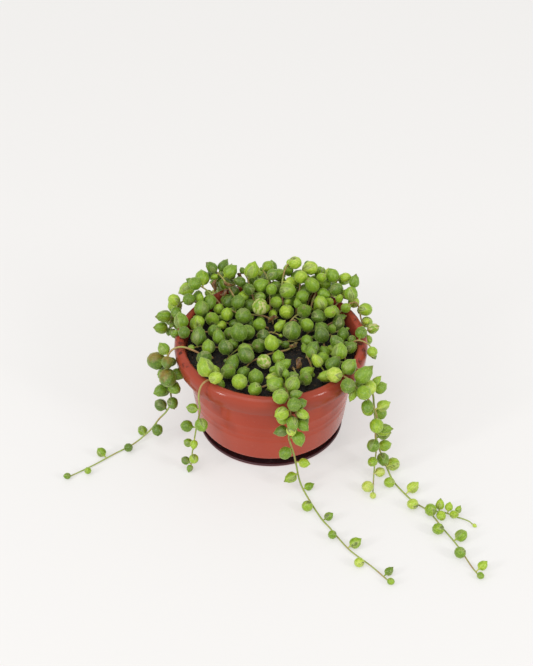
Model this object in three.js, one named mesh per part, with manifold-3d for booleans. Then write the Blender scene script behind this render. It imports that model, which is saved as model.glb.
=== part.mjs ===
// Potted string of pearls: a trailing succulent in a glossy plastic pot that stands on a saucer.
// Millimetres, +Z up. The origin is the centre of the saucer's flat underside.
import * as THREE from 'three';
import { mergeVertices } from 'three/addons/utils/BufferGeometryUtils.js';
import Module from 'manifold-3d';

const wasm = await Module();
wasm.setup();

// Driving dimensions of the pot, its saucer and the soil
const rimRadius = 55;
const rimTop = 61.5;
const mouthRadius = 49.6;
const collarHeight = 10.2;
const collarTaper = 0.5;
const wallFootRadius = 43.6;
const wallFootZ = 7.6;
const wallSlope = 0.112;
const wallThickness = 1.6;
const footRingRadius = 36.6;
const saucerRadius = 42.8;
const saucerThickness = 1.3;
const saucerRimHeight = 2.2;
const soilEdgeZ = 55;
const soilCrown = 1.2;
const touchGap = 0.3;
const drainHoleRadius = 3.2;
const drainHoleCount = 4;
const drainCircleRadius = 21;
const roundSegments = 32;

// Driving dimensions of the plant. A stem stands upright from its root depth under the soil to its
// rise above it, and is built of straight lengths of about one step.
const stemRadius = 0.6;
const stemSides = 4;
const stemStep = 5.6;
const samplesPerStep = 6;
const rootDepth = 8;
const stemRise = 1.7;
const rootHoleRadius = 1.6;
const rootHoleSides = 5;
const leafSides = 5;
const leafRootDepth = 0.45;
const stalkRadius = 0.45;
const leafGap = 0.4;
const crowding = 0.46;
const crowdedSize = 1.2;
const floorGap = 0.12;

const collarBottom = rimTop - collarHeight;
const potStandZ = saucerThickness + touchGap;

function wallRadius(z) {
  return wallFootRadius + wallSlope * (z - wallFootZ);
}

function soilRadius(z) {
  const flare = Math.max(0, z - collarBottom) * 0.29;
  return wallRadius(Math.min(z, collarBottom)) - wallThickness - touchGap + flare;
}

function soilHeight(radius) {
  return soilEdgeZ + soilCrown * (1 - (radius / soilRadius(soilEdgeZ)) ** 2);
}

// Outline of the pot from the middle of its underside, up the outside and down the inside
const potOutside = [
  [footRingRadius - 2.6, potStandZ],
  [footRingRadius, potStandZ],
  [footRingRadius + 0.4, wallFootZ],
  [wallFootRadius - 0.3, wallFootZ],
  [wallRadius(9.2), 9.2],
  [wallRadius(collarBottom), collarBottom],
  [wallRadius(collarBottom) + 2.4, rimTop - 2],
  [rimRadius - 2.2, rimTop - 2.1],
  [rimRadius - collarTaper - 1.6, collarBottom],
  [rimRadius - collarTaper, collarBottom],
  [rimRadius, rimTop - 4],
  [rimRadius - 0.2, rimTop - 1.8],
  [rimRadius - 1.1, rimTop - 0.5],
  [rimRadius - 2.6, rimTop],
];
const potInside = [
  [mouthRadius + 1, rimTop],
  [mouthRadius, rimTop - 0.6],
  [wallRadius(collarBottom) - wallThickness, collarBottom],
  [wallRadius(9.4) - wallThickness, 9.4],
  [footRingRadius, 9.2],
  [footRingRadius - 1.2, 6.9],
];
const potOutline = [[0, 5.2], [footRingRadius - 3, 5.2], ...potOutside, ...potInside, [0, 6.9]];

const saucerOutline = [
  [0, 0],
  [saucerRadius - 1.2, 0],
  [saucerRadius, 0.9],
  [saucerRadius - 0.2, saucerRimHeight],
  [saucerRadius - 1.2, saucerRimHeight],
  [saucerRadius - 1.8, saucerThickness],
  [0, saucerThickness],
];

const soilBottomZ = 9.4 + touchGap;
const soilOutline = [
  [0, soilBottomZ],
  [soilRadius(soilBottomZ), soilBottomZ],
  [soilRadius(collarBottom), collarBottom],
  [soilRadius(soilEdgeZ), soilEdgeZ],
  [30, soilHeight(30)],
  [0, soilHeight(0)],
];

// The strands of the plant. Each one leaves the soil at its root and follows its route of [x, y, z]
// points. Leaves stand along it by a rule: spacing and size run from the first value at the root to
// the second at the tip, lift is how steeply they rise from the stem, in degrees. Where a strand is
// crowded, between two distances along its stem, its leaves are larger and stand closer together, and
// where it is bare it has none.
const strands = [
  {
    name: 'strand_trail_front', root: [4, -22], spacing: [6.4, 13.5], size: [3.5, 2.7], lift: 25,
    crowded: [29, 60],
    route: [
      [5, -29, 57.5], [6.5, -36, 58.5], [7.5, -43, 61], [8.5, -49, 63.4], [9.5, -54.5, 63],
      [10, -58, 59], [10.3, -58.5, 52], [9.8, -57.5, 44], [9.5, -56.3, 37], [11, -56, 30],
      [12.8, -56.3, 22.5], [14.2, -56.8, 14.5], [15.5, -57.5, 7], [17.5, -60.5, 2], [22.5, -71.9, 0.9],
      [27.6, -82.8, 0.9], [31.2, -88.2, 0.9], [35.2, -94.9, 0.9], [41.6, -104.5, 0.9],
      [49.1, -112, 0.9], [53.5, -116.6, 0.9], [60.6, -125.1, 0.9],
    ],
  },
  {
    name: 'strand_trail_left', root: [-33, -13], spacing: [7, 16], size: [4.8, 2.2], lift: 20,
    crowded: [37, 60],
    bare: [14, 36],
    route: [
      [-38, -12.5, 58.5], [-44, -12, 61.8], [-50, -11.5, 63.6], [-55.4, -12.8, 62.3], [-58.6, -15.2, 57],
      [-58.4, -17.2, 49.4], [-57.4, -18.6, 40], [-57, -19.4, 30], [-60, -19.2, 22], [-65, -18, 14.5],
      [-69.3, -18.8, 8], [-74.7, -20.6, 3], [-80.8, -25.6, 1.2], [-90.6, -32.9, 0.9],
      [-101.7, -42, 0.9], [-114, -50.8, 0.9],
    ],
  },
  {
    name: 'strand_trail_front_left', root: [-24, -27], spacing: [7, 7.5], size: [4.9, 2.4], lift: 30,
    bare: [32, 46],
    route: [
      [-28, -32.5, 58], [-31, -36, 61.4], [-34.3, -39.8, 63.8], [-37.5, -43.2, 63], [-39, -45.5, 58.5],
      [-38.9, -46, 52.5], [-38.8, -45.6, 47.5], [-39.6, -45.2, 42], [-41, -44.7, 34.5], [-42.3, -44.8, 27],
      [-43.4, -44, 19], [-44.6, -43.6, 11.5], [-45.4, -44.6, 3.6],
    ],
  },
  {
    name: 'strand_trail_right', root: [31, -14], spacing: [7, 11], size: [4.7, 2.9], lift: 25,
    bare: [22, 42],
    route: [
      [34, -18, 58], [37.7, -22, 61.6], [42.2, -26.6, 63.9], [47, -30.4, 63.9], [51.3, -33.2, 61],
      [54.3, -35, 55.5], [56, -36, 49.5], [56.8, -36.4, 43], [57.8, -37, 35], [58, -38, 27.5], [60, -40, 17],
      [63.3, -43.6, 8.5], [66.2, -48, 3.4], [69, -55, 1.2], [75.5, -65.6, 0.9], [80, -71.1, 0.9],
      [86.2, -77, 0.9], [92.7, -89.3, 0.9], [99.2, -101.8, 0.9], [104.5, -115.3, 0.9],
      [107.5, -121.2, 0.9],
    ],
  },
  {
    name: 'strand_trail_right_short', root: [29, -25], spacing: [7, 8], size: [4.7, 2.8], lift: 25,
    route: [
      [32.5, -29, 58], [35.3, -32.4, 61.4], [39, -36.5, 63.9], [42.7, -39.8, 63.4], [46, -42.4, 60.8],
      [50, -44, 57], [54.5, -44.5, 51], [57.5, -44.5, 43], [58.3, -44.8, 35], [57.8, -45.2, 28],
      [58.8, -46.7, 20], [58.3, -49.2, 11], [57.8, -53, 4], [57.3, -58, 1], [56.6, -65.2, 0.9],
    ],
  },
  {
    name: 'strand_hang_left', root: [-31, 24], spacing: [19, 6.5], size: [3.7, 3.4], lift: 35,
    crowded: [34, 58],
    route: [
      [-36, 26, 59], [-41, 27.5, 62.9], [-46, 29, 64.8], [-51, 29.5, 64.4], [-55.5, 28.5, 60.5],
      [-58.5, 26.5, 54], [-60, 24.5, 47],
    ],
  },
  {
    name: 'strand_over_right', root: [37, 22], spacing: [6.4, 6.6], size: [3.8, 3.4], lift: 35,
    route: [
      [41.5, 24.5, 61.5], [46, 27, 64.6], [49.8, 28, 64.4], [51.6, 26, 61.5], [52.4, 23, 58],
      [53.4, 19.5, 55.5], [54.8, 15.5, 54], [55.9, 11, 52.8],
    ],
  },
  {
    name: 'strand_over_right_low', root: [44.5, -3.5], spacing: [6.5, 9], size: [2.6, 3.6], lift: 25,
    route: [
      [46.4, -4.2, 60.8], [48.8, -5.2, 63.2], [52, -6.8, 63.6], [55.3, -8.6, 62.2], [56.8, -10.4, 58.5],
    ],
  },
  {
    name: 'strand_back_left_outer', root: [-26, 28], spacing: [5.8, 6.4], size: [5.2, 4.7], lift: 35,
    route: [[-31, 32, 62], [-36, 35, 66.5], [-41, 37, 69.5], [-46, 38.5, 71.5]],
  },
  {
    name: 'strand_back_left', root: [-15, 26], spacing: [6.4, 6.9], size: [4.3, 4.4], lift: 35,
    route: [[-19, 30, 62], [-23, 34.5, 67], [-26.5, 39, 71], [-30, 43.5, 73], [-33, 48, 73]],
  },
  {
    name: 'strand_back_mid_left', root: [-7, 26], spacing: [5.8, 6.4], size: [4.5, 4.3], lift: 35,
    route: [[-9.5, 31, 62.5], [-12, 36, 68], [-13.5, 41, 71.5], [-16, 46, 73]],
  },
  {
    name: 'strand_back_mid', root: [0, 27], spacing: [5.8, 6.4], size: [4.5, 4.1], lift: 35,
    route: [[-0.5, 32, 63], [-1, 37, 68.5], [-2, 42, 72.5], [-5, 46.5, 74.5]],
  },
  {
    name: 'strand_back_mid_right', root: [8, 26], spacing: [5.6, 6.2], size: [4.7, 3.8], lift: 40,
    route: [[7, 31, 63], [6.5, 36, 68.5], [7, 41, 72.5], [8.5, 46, 75.5], [10.5, 50.5, 76]],
  },
  {
    name: 'strand_back_high', root: [15, 27], spacing: [6, 6.6], size: [5, 3.8], lift: 40,
    route: [[15.5, 32, 63], [17, 37, 68], [17.5, 42, 71.5], [18.5, 47, 74], [21, 51, 74.5]],
  },
  {
    name: 'strand_back_right', root: [23, 27], spacing: [5.8, 6.4], size: [4.1, 4.3], lift: 40,
    route: [[24.5, 32, 62.5], [27, 36.5, 67], [28, 41, 70.5], [30, 46, 72.5]],
  },
  {
    name: 'strand_back_right_outer', root: [31, 26], spacing: [5.8, 6.4], size: [4.3, 4.3], lift: 40,
    route: [[33.5, 31, 62], [36, 35.5, 66], [38, 40, 69], [40.5, 44, 70.5]],
  },
  {
    name: 'strand_back_right_low', root: [34.5, 26.5], spacing: [5.8, 6.4], size: [4.3, 4.3], lift: 35,
    route: [[36.8, 28.2, 60.3], [40.3, 30.5, 63.8], [44.2, 33, 66.3], [48, 35.5, 68]],
  },
  {
    name: 'strand_back_across', root: [-14, 33], spacing: [6, 6.2], size: [4.4, 4.3], lift: 35,
    route: [
      [-13.5, 38, 60.5], [-10, 41.8, 63.8], [-4, 43.8, 65.4], [3, 44.3, 66], [10, 44, 66], [16, 42.6, 65.6],
    ],
  },
  {
    name: 'strand_middle_left', root: [1, 19], spacing: [6.4, 7], size: [4.6, 4.1], lift: 40,
    route: [[-1.5, 20.5, 59], [-7, 20, 61.5], [-13, 19.5, 62], [-18, 20, 62.3], [-23, 22.5, 63]],
  },
  {
    name: 'strand_middle_right', root: [9, 11], spacing: [6.4, 7], size: [4.8, 3.9], lift: 40,
    route: [[11, 17, 58.5], [15, 20.5, 61], [21, 20.5, 62], [27, 20, 62.3], [32, 21, 63]],
  },
  {
    name: 'strand_big_leaf', root: [9, 0], spacing: [8.2, 8.2], size: [5.9, 4.4], lift: 35,
    route: [[14, 1, 57.5], [19, 3.5, 58], [24, 4, 58]],
  },
  {
    name: 'strand_centre', root: [-8, 6.5], spacing: [7, 7], size: [4.8, 4.6], lift: 30,
    route: [[-4, 7, 58.3], [1, 8, 58.3], [5, 5, 58.5]],
  },
  {
    name: 'strand_centre_left', root: [-2, 13], spacing: [7, 7], size: [4.1, 4.8], lift: 30,
    route: [[-7, 12.5, 57.5], [-12.5, 12, 58.2], [-17, 9, 58.2], [-17.5, 5.5, 58]],
  },
  {
    name: 'strand_left_upper', root: [-24, 17], spacing: [7, 7], size: [4.4, 4.4], lift: 35,
    route: [[-30, 17.5, 57.5], [-36, 18, 58.5], [-41, 18.5, 60]],
  },
  {
    name: 'strand_left', root: [-21, 8], spacing: [7, 7], size: [4.6, 3.8], lift: 30,
    route: [
      [-27, 8, 57.5], [-34, 7.8, 58.5], [-40, 7, 59.5], [-45, 4.5, 62], [-49, 3, 63.8],
      [-52.5, 2.5, 62.6],
    ],
  },
  {
    name: 'strand_left_lower', root: [-22, 1], spacing: [7, 7], size: [4.4, 4.4], lift: 30,
    route: [[-27, -4, 57.5], [-33, -5, 58], [-39, -4, 58], [-43.5, -6, 58.6]],
  },
  {
    name: 'strand_middle_front_left', root: [-4, -3], spacing: [7, 7.6], size: [4.6, 4.9], lift: 30,
    route: [[-9, -3.5, 57.5], [-14, -2.5, 58], [-18, -6, 58], [-22, -11, 58], [-25, -16, 57.8]],
  },
  {
    name: 'strand_middle_front', root: [14, -3], spacing: [7, 7.6], size: [4.6, 5.1], lift: 30,
    route: [[9, -7.5, 58], [2, -11.5, 59.5], [-5, -15.5, 59.8], [-11, -19, 59], [-14, -22.5, 58.2]],
  },
  {
    name: 'strand_front_left', root: [0, -35.5], spacing: [7, 7.6], size: [3.9, 4.9], lift: 30,
    route: [[-5.5, -38.8, 57.8], [-11, -39, 58.4], [-16.5, -36, 58.4], [-20.5, -31, 58]],
  },
  {
    name: 'strand_front_right', root: [12, -22], spacing: [7, 7.6], size: [4.8, 5.1], lift: 30,
    route: [[14, -28, 57.5], [16.5, -32.5, 58], [19.5, -35, 58.2]],
  },
  {
    name: 'strand_right_front', root: [20, -12], spacing: [7, 7], size: [4.4, 3.9], lift: 30,
    route: [[21.5, -17, 57.5], [22.5, -22.5, 58], [23, -28, 58]],
  },
  {
    name: 'strand_right_lower', root: [41, 0], spacing: [7, 7], size: [3, 4.8], lift: 30,
    route: [[41.5, -6, 57.5], [41, -12, 58.2], [41.5, -18, 59]],
  },
  {
    name: 'strand_right', root: [30, -4], spacing: [7, 7.6], size: [4.4, 4.8], lift: 30,
    route: [[30.5, 1, 57.5], [33, 5.5, 58], [38, 8.5, 58.5], [43, 9.5, 59.3]],
  },
  {
    name: 'strand_right_upper', root: [21, 8], spacing: [7, 7], size: [4.5, 4.8], lift: 35,
    route: [[26, 11.5, 57.5], [31.5, 14, 58], [36, 16.5, 59], [41, 18.5, 59.8]],
  },
  {
    name: 'strand_over_back_left', root: [-21, 38], spacing: [7.4, 8], size: [4.4, 3.3], lift: 30,
    route: [
      [-22, 41, 59.5], [-23.5, 43.8, 62.6], [-25.5, 48, 64.4], [-27.5, 52.3, 62.8], [-28.7, 54.8, 57.5],
      [-29, 56, 51], [-28.5, 56.5, 44],
    ],
  },
  {
    name: 'strand_over_back', root: [-2, 40], spacing: [7.4, 8.4], size: [4.4, 3.1], lift: 30,
    route: [
      [-1.5, 44.3, 60], [-1, 48, 63], [0, 53, 64.5], [1, 57.6, 62.6], [1.5, 59.8, 57], [1.5, 59.8, 49],
      [0.5, 59, 41], [0, 58.5, 33],
    ],
  },
  {
    name: 'strand_over_back_right', root: [22, 36.5], spacing: [7.4, 8], size: [4.4, 3.3], lift: 30,
    route: [
      [23.3, 38.8, 59.5], [25, 41.5, 62.6], [28, 45.5, 64.6], [31, 49, 62.8], [33, 51.2, 57.5],
      [34, 52, 50.5], [33.5, 52, 43.5],
    ],
  },
];

// Random draws in [0, 1), the same for the same seed
function seededRandom(seed) {
  const modulus = 2147483647;
  let state = (seed * 48271 + 11) % modulus;
  return () => {
    state = (state * 16807) % modulus;
    return state / modulus;
  };
}

function strandCurve(strand) {
  const [x, y] = strand.root;
  const top = soilHeight(Math.hypot(x, y));
  const rootHeights = [top - rootDepth, top - rootDepth / 2, top + stemRise];
  const points = [...rootHeights.map((z) => [x, y, z]), ...strand.route];
  const vectors = points.map((point) => new THREE.Vector3(...point));
  return new THREE.CatmullRomCurve3(vectors, false, 'catmullrom', 0.5);
}

function stemSteps(curve) {
  return Math.round(curve.getLength() / stemStep);
}

// Points on the straight lengths that make up the stem, with their distance from its root end
function stemSamples(curve) {
  const corners = curve.getSpacedPoints(stemSteps(curve));
  const samples = [{ point: corners[0], distance: 0 }];
  for (let i = 1; i < corners.length; i += 1) {
    const start = samples[samples.length - 1];
    const length = corners[i].distanceTo(start.point);
    for (let j = 1; j <= samplesPerStep; j += 1) {
      const share = j / samplesPerStep;
      const point = start.point.clone().lerp(corners[i], share);
      samples.push({ point, distance: start.distance + share * length });
    }
  }
  return samples;
}

function pointAlong(samples, distance) {
  const i = samples.findIndex((sample) => sample.distance >= distance);
  const [before, after] = [samples[i - 1], samples[i]];
  const share = (distance - before.distance) / (after.distance - before.distance);
  return {
    point: before.point.clone().lerp(after.point, share),
    tangent: after.point.clone().sub(before.point).normalize(),
  };
}

function distanceToSegment(radius, z, [r0, z0], [r1, z1]) {
  const along = ((radius - r0) * (r1 - r0) + (z - z0) * (z1 - z0)) / ((r1 - r0) ** 2 + (z1 - z0) ** 2);
  const share = Math.min(1, Math.max(0, along));
  return Math.hypot(radius - r0 - share * (r1 - r0), z - z0 - share * (z1 - z0));
}

// Distance from a point to the pot's surface, or to the soil inside it
function potDistance(point) {
  const radius = Math.hypot(point.x, point.y);
  const outline = [...potOutside, ...potInside];
  let nearest = Infinity;
  for (let i = 1; i < outline.length; i += 1) {
    nearest = Math.min(nearest, distanceToSegment(radius, point.z, outline[i - 1], outline[i]));
  }
  if (radius < mouthRadius) nearest = Math.min(nearest, point.z - soilHeight(radius));
  return nearest;
}

function ballFits(centre, radius, neighbours) {
  if (centre.z < radius + floorGap || potDistance(centre) < radius + leafGap) return false;
  return neighbours.every((ball) => ball.centre.distanceTo(centre) >= ball.radius + radius + leafGap);
}

// The balls that stand for a leaf when its room is tested: its body, its pointed tip and its stalk
function leafBalls(leaf) {
  const along = (distance) => leaf.base.clone().addScaledVector(leaf.direction, distance);
  const tipRadius = leaf.radius * 0.25;
  return [
    { centre: along(leaf.stalk + leaf.radius), radius: leaf.radius },
    { centre: along(leaf.stalk + leaf.radius + leaf.reach - tipRadius), radius: tipRadius },
    { centre: along(stemRadius + leaf.stalk / 2), radius: stalkRadius },
  ];
}

// Turns that a leaf tries about its stem, in degrees, and the shares of its size that it then tries
const turnTries = [0, 22, -22, 44, -44, 66, -66, 90, -90, 115, -115, 140, -140];
const leanTries = [0, 28, -28];
const sizeTries = [1, 0.86, 0.73];

// The first direction and size with room for a leaf, starting from the one that it prefers
function settleLeaf(wish, neighbours) {
  for (const share of sizeTries) {
    for (const turn of turnTries) {
      for (const lean of leanTries) {
        const direction = wish.direction.clone()
          .applyAxisAngle(wish.tangent, THREE.MathUtils.degToRad(turn * wish.side))
          .applyAxisAngle(wish.across, THREE.MathUtils.degToRad(lean));
        const radius = wish.radius * share;
        const leaf = { base: wish.base, direction, radius, stalk: wish.stalk, reach: radius * wish.point };
        if (leafBalls(leaf).every((ball) => ballFits(ball.centre, ball.radius, neighbours))) return leaf;
      }
    }
  }
  return null;
}

// The leaf that a place on a stem prefers: sides alternate, and a leaf with a longer point is slimmer
function leafWish(strand, samples, distance, side, random) {
  const total = samples[samples.length - 1].distance;
  const share = distance / total;
  const { point, tangent } = pointAlong(samples, distance);
  const steep = Math.abs(tangent.z);
  const outward = new THREE.Vector3(point.x, point.y, 0).normalize();
  const above = outward.multiplyScalar(steep).add(new THREE.Vector3(0, 0, 1 - steep));
  above.addScaledVector(tangent, -above.dot(tangent)).normalize();
  const across = new THREE.Vector3().crossVectors(tangent, above);
  const lift = THREE.MathUtils.degToRad(strand.lift + 40 * (random() - 0.5));
  const direction = across.clone().multiplyScalar(side * Math.cos(lift));
  direction.addScaledVector(above, Math.sin(lift));
  const crowd = isWithin(strand.crowded, distance) ? crowdedSize : 1;
  const size = THREE.MathUtils.lerp(strand.size[0], strand.size[1], share) * crowd;
  const leafPoint = 1.15 + 0.85 * random() ** 1.8;
  return {
    base: point,
    tangent,
    across,
    side,
    direction: direction.addScaledVector(tangent, 0.5 * (random() - 0.3)).normalize(),
    radius: size * (0.84 + 0.32 * random()) * (1.24 - 0.2 * leafPoint),
    stalk: 0.7 + 1.4 * random(),
    point: leafPoint,
  };
}

function isWithin([start, end] = [0, 0], distance) {
  return distance > start && distance < end;
}

// Distance from one leaf to the next
function leafSpacing(strand, distance, share, random) {
  const spacing = THREE.MathUtils.lerp(strand.spacing[0], strand.spacing[1], share);
  return spacing * (isWithin(strand.crowded, distance) ? crowding : 1) * (0.85 + 0.3 * random());
}

function growLeaves(strand, index, samples, stems, leaves) {
  const random = seededRandom(index + 1);
  const total = samples[samples.length - 1].distance;
  const grown = [];
  let side = index % 2 ? 1 : -1;
  let distance = rootDepth + 3;
  while (distance < total) {
    const wish = leafWish(strand, samples, distance, side, random);
    const reach = wish.stalk + 3 * wish.radius + leafGap;
    const near = [...stems, ...leaves, ...grown.flatMap(leafBalls)].filter((ball) => {
      const isOwnRoot = ball.strand === strand && Math.abs(ball.distance - distance) < wish.stalk + 2.2;
      return !isOwnRoot && ball.centre.distanceTo(wish.base) < reach + ball.radius;
    });
    const leaf = isWithin(strand.bare, distance) ? null : settleLeaf(wish, near);
    if (leaf) grown.push(leaf);
    side = -side;
    distance += leafSpacing(strand, distance, distance / total, random);
  }
  return grown;
}

// Every strand's curve and leaves, each leaf in the room that the pot and the other strands leave
function growPlant() {
  const grown = strands.map((strand) => {
    const curve = strandCurve(strand);
    return { strand, curve, samples: stemSamples(curve) };
  });
  const stems = grown.flatMap(({ strand, samples }) => samples.map(({ point, distance }) => (
    { centre: point, radius: stemRadius, strand, distance }
  )));
  const leaves = [];
  grown.forEach((entry, index) => {
    entry.leaves = growLeaves(entry.strand, index, entry.samples, stems, leaves);
    leaves.push(...entry.leaves.flatMap(leafBalls));
  });
  return grown;
}

// A closed geometry as a solid: only positions are kept, merged, with the flat triangles left out
function solidFrom(geometry) {
  geometry.deleteAttribute('normal');
  geometry.deleteAttribute('uv');
  const merged = mergeVertices(geometry, 1e-4);
  const corners = merged.index.array;
  const triangles = [];
  for (let i = 0; i < corners.length; i += 3) {
    const [a, b, c] = [corners[i], corners[i + 1], corners[i + 2]];
    if (a !== b && b !== c && c !== a) triangles.push(a, b, c);
  }
  return new wasm.Manifold(new wasm.Mesh({
    numProp: 3,
    vertProperties: new Float32Array(merged.attributes.position.array),
    triVerts: new Uint32Array(triangles),
  }));
}

function meshFrom(solid, name, material) {
  const { vertProperties, triVerts } = solid.getMesh();
  const geometry = new THREE.BufferGeometry();
  geometry.setAttribute('position', new THREE.BufferAttribute(vertProperties, 3));
  geometry.setIndex(new THREE.BufferAttribute(triVerts, 1));
  geometry.computeVertexNormals();
  const mesh = new THREE.Mesh(geometry, material);
  mesh.name = name;
  return mesh;
}

// A turned solid whose outline of [radius, z] points starts and ends on the Z axis
function turned(outline, segments = roundSegments) {
  const points = outline.map(([radius, z]) => new THREE.Vector2(radius, z));
  return solidFrom(new THREE.LatheGeometry(points, segments).rotateX(Math.PI / 2));
}

function uprightCylinder(radius, x, y, z0, z1, sides) {
  const geometry = new THREE.CylinderGeometry(radius, radius, z1 - z0, sides).rotateX(Math.PI / 2);
  return solidFrom(geometry.translate(x, y, (z0 + z1) / 2));
}

function makePot() {
  let pot = turned(potOutline);
  for (let i = 0; i < drainHoleCount; i += 1) {
    const angle = (i + 0.5) * (2 * Math.PI / drainHoleCount);
    const [x, y] = [drainCircleRadius * Math.cos(angle), drainCircleRadius * Math.sin(angle)];
    pot = pot.subtract(uprightCylinder(drainHoleRadius, x, y, 4, 8, 10));
  }
  const material = new THREE.MeshStandardMaterial({ color: 0xaf5543, roughness: 0.32, metalness: 0 });
  return meshFrom(pot, 'pot', material);
}

function makeSaucer() {
  const material = new THREE.MeshStandardMaterial({ color: 0x4a2220, roughness: 0.4, metalness: 0 });
  return meshFrom(turned(saucerOutline), 'saucer', material);
}

// The soil, with a plain hole for each strand's root end
function makeSoil() {
  let soil = turned(soilOutline);
  for (const { root: [x, y] } of strands) {
    const top = soilHeight(Math.hypot(x, y));
    const hole = uprightCylinder(rootHoleRadius, x, y, top - rootDepth - touchGap, top + 2, rootHoleSides);
    soil = soil.subtract(hole);
  }
  const material = new THREE.MeshStandardMaterial({ color: 0x26211f, roughness: 0.95, metalness: 0 });
  return meshFrom(soil, 'soil', material);
}

function stemSolid(curve) {
  const corners = [];
  for (let i = 0; i < stemSides; i += 1) {
    const angle = i * (2 * Math.PI / stemSides);
    corners.push(new THREE.Vector2(stemRadius * Math.cos(angle), stemRadius * Math.sin(angle)));
  }
  const options = { steps: stemSteps(curve), extrudePath: curve, bevelEnabled: false };
  return solidFrom(new THREE.ExtrudeGeometry(new THREE.Shape(corners), options));
}

// A pearl-like leaf: a stalk that starts inside the stem, a round body and a small pointed tip
function leafSolid(leaf) {
  const { radius, stalk, reach } = leaf;
  const outline = [
    [0, -leafRootDepth],
    [radius * 0.6, stalk + radius * 0.2],
    [radius, stalk + radius],
    [radius * 0.66, stalk + radius * 1.75],
    [0, stalk + radius + reach],
  ].map(([r, y]) => new THREE.Vector2(r, y));
  const turn = new THREE.Quaternion().setFromUnitVectors(new THREE.Vector3(0, 1, 0), leaf.direction);
  const geometry = new THREE.LatheGeometry(outline, leafSides).applyQuaternion(turn);
  return solidFrom(geometry.translate(leaf.base.x, leaf.base.y, leaf.base.z));
}

function makeStrand({ strand, curve, leaves }, material) {
  let solid = stemSolid(curve);
  for (const leaf of leaves) solid = solid.add(leafSolid(leaf));
  return meshFrom(solid, strand.name, material);
}

function makePlant() {
  const plant = new THREE.Group();
  const material = new THREE.MeshStandardMaterial({ color: 0x6c9a3a, roughness: 0.38, metalness: 0 });
  for (const entry of growPlant()) plant.add(makeStrand(entry, material.clone()));
  return plant;
}

const pottedPlant = new THREE.Group();
pottedPlant.add(makeSaucer(), makePot(), makeSoil(), makePlant());

export default pottedPlant;
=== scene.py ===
# Looks for the potted string of pearls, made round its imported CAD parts: fine leaves and stems for
# every strand, a smooth glossy pot and saucer, crumbly soil, then the floor, the light and the camera.
# Sizes are in millimetres, as in the CAD part, and become metres where a mesh is made.
import math

import bpy
import numpy as np
from mathutils import Matrix, Vector


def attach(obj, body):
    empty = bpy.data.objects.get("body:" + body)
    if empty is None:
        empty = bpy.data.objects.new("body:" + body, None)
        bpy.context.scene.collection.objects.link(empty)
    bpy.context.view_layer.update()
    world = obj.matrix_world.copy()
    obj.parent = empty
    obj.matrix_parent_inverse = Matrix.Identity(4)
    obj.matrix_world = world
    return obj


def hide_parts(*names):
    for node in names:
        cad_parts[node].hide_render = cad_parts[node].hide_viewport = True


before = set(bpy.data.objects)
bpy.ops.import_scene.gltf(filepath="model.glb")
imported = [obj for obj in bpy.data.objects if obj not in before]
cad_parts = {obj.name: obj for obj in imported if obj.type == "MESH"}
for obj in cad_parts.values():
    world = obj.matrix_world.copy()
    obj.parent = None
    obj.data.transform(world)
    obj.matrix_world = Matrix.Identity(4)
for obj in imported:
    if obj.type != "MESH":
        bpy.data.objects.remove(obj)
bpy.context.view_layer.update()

MM = 0.001

# The pot, its saucer and the soil, as in the CAD part
RIM_RADIUS = 55
RIM_TOP = 61.5
MOUTH_RADIUS = 49.6
COLLAR_HEIGHT = 10.2
COLLAR_TAPER = 0.5
WALL_FOOT_RADIUS = 43.6
WALL_FOOT_Z = 7.6
WALL_START_Z = 9.2
WALL_SLOPE = 0.112
WALL_THICKNESS = 1.6
FOOT_RING_RADIUS = 36.6
FLOOR_UNDERSIDE = 5.2
FLOOR_TOP = 6.9
INNER_FOOT_Z = 9.4
SAUCER_RADIUS = 42.8
SAUCER_THICKNESS = 1.3
SAUCER_RIM_HEIGHT = 2.2
SOIL_EDGE_Z = 55
SOIL_CROWN = 1.2
SOIL_FLARE = 0.29
TOUCH_GAP = 0.3
DRAIN_HOLE_RADIUS = 3.2
DRAIN_HOLE_COUNT = 4
DRAIN_CIRCLE_RADIUS = 21
ROUND_SEGMENTS = 128

# The plant, as in the CAD part
STEM_RADIUS = 0.6
STEM_STEP = 5.6
SAMPLES_PER_STEP = 6
ROOT_DEPTH = 8
STEM_RISE = 1.7
STALK_RADIUS = 0.45
LEAF_GAP = 0.4
FLOOR_GAP = 0.12
CROWDING = 0.46
CROWDED_SIZE = 1.2
# A route's point that is given without its height lies at this one, on the floor
LYING_Z = 0.9

COLLAR_BOTTOM = RIM_TOP - COLLAR_HEIGHT
POT_STAND_Z = SAUCER_THICKNESS + TOUCH_GAP
SOIL_BOTTOM = INNER_FOOT_Z + TOUCH_GAP


def wall_radius(z):
    return WALL_FOOT_RADIUS + WALL_SLOPE * (z - WALL_FOOT_Z)


def soil_radius(z):
    flare = max(0, z - COLLAR_BOTTOM) * SOIL_FLARE
    return wall_radius(min(z, COLLAR_BOTTOM)) - WALL_THICKNESS - TOUCH_GAP + flare


def soil_height(radius):
    return SOIL_EDGE_Z + SOIL_CROWN * (1 - (radius / soil_radius(SOIL_EDGE_Z)) ** 2)


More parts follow.
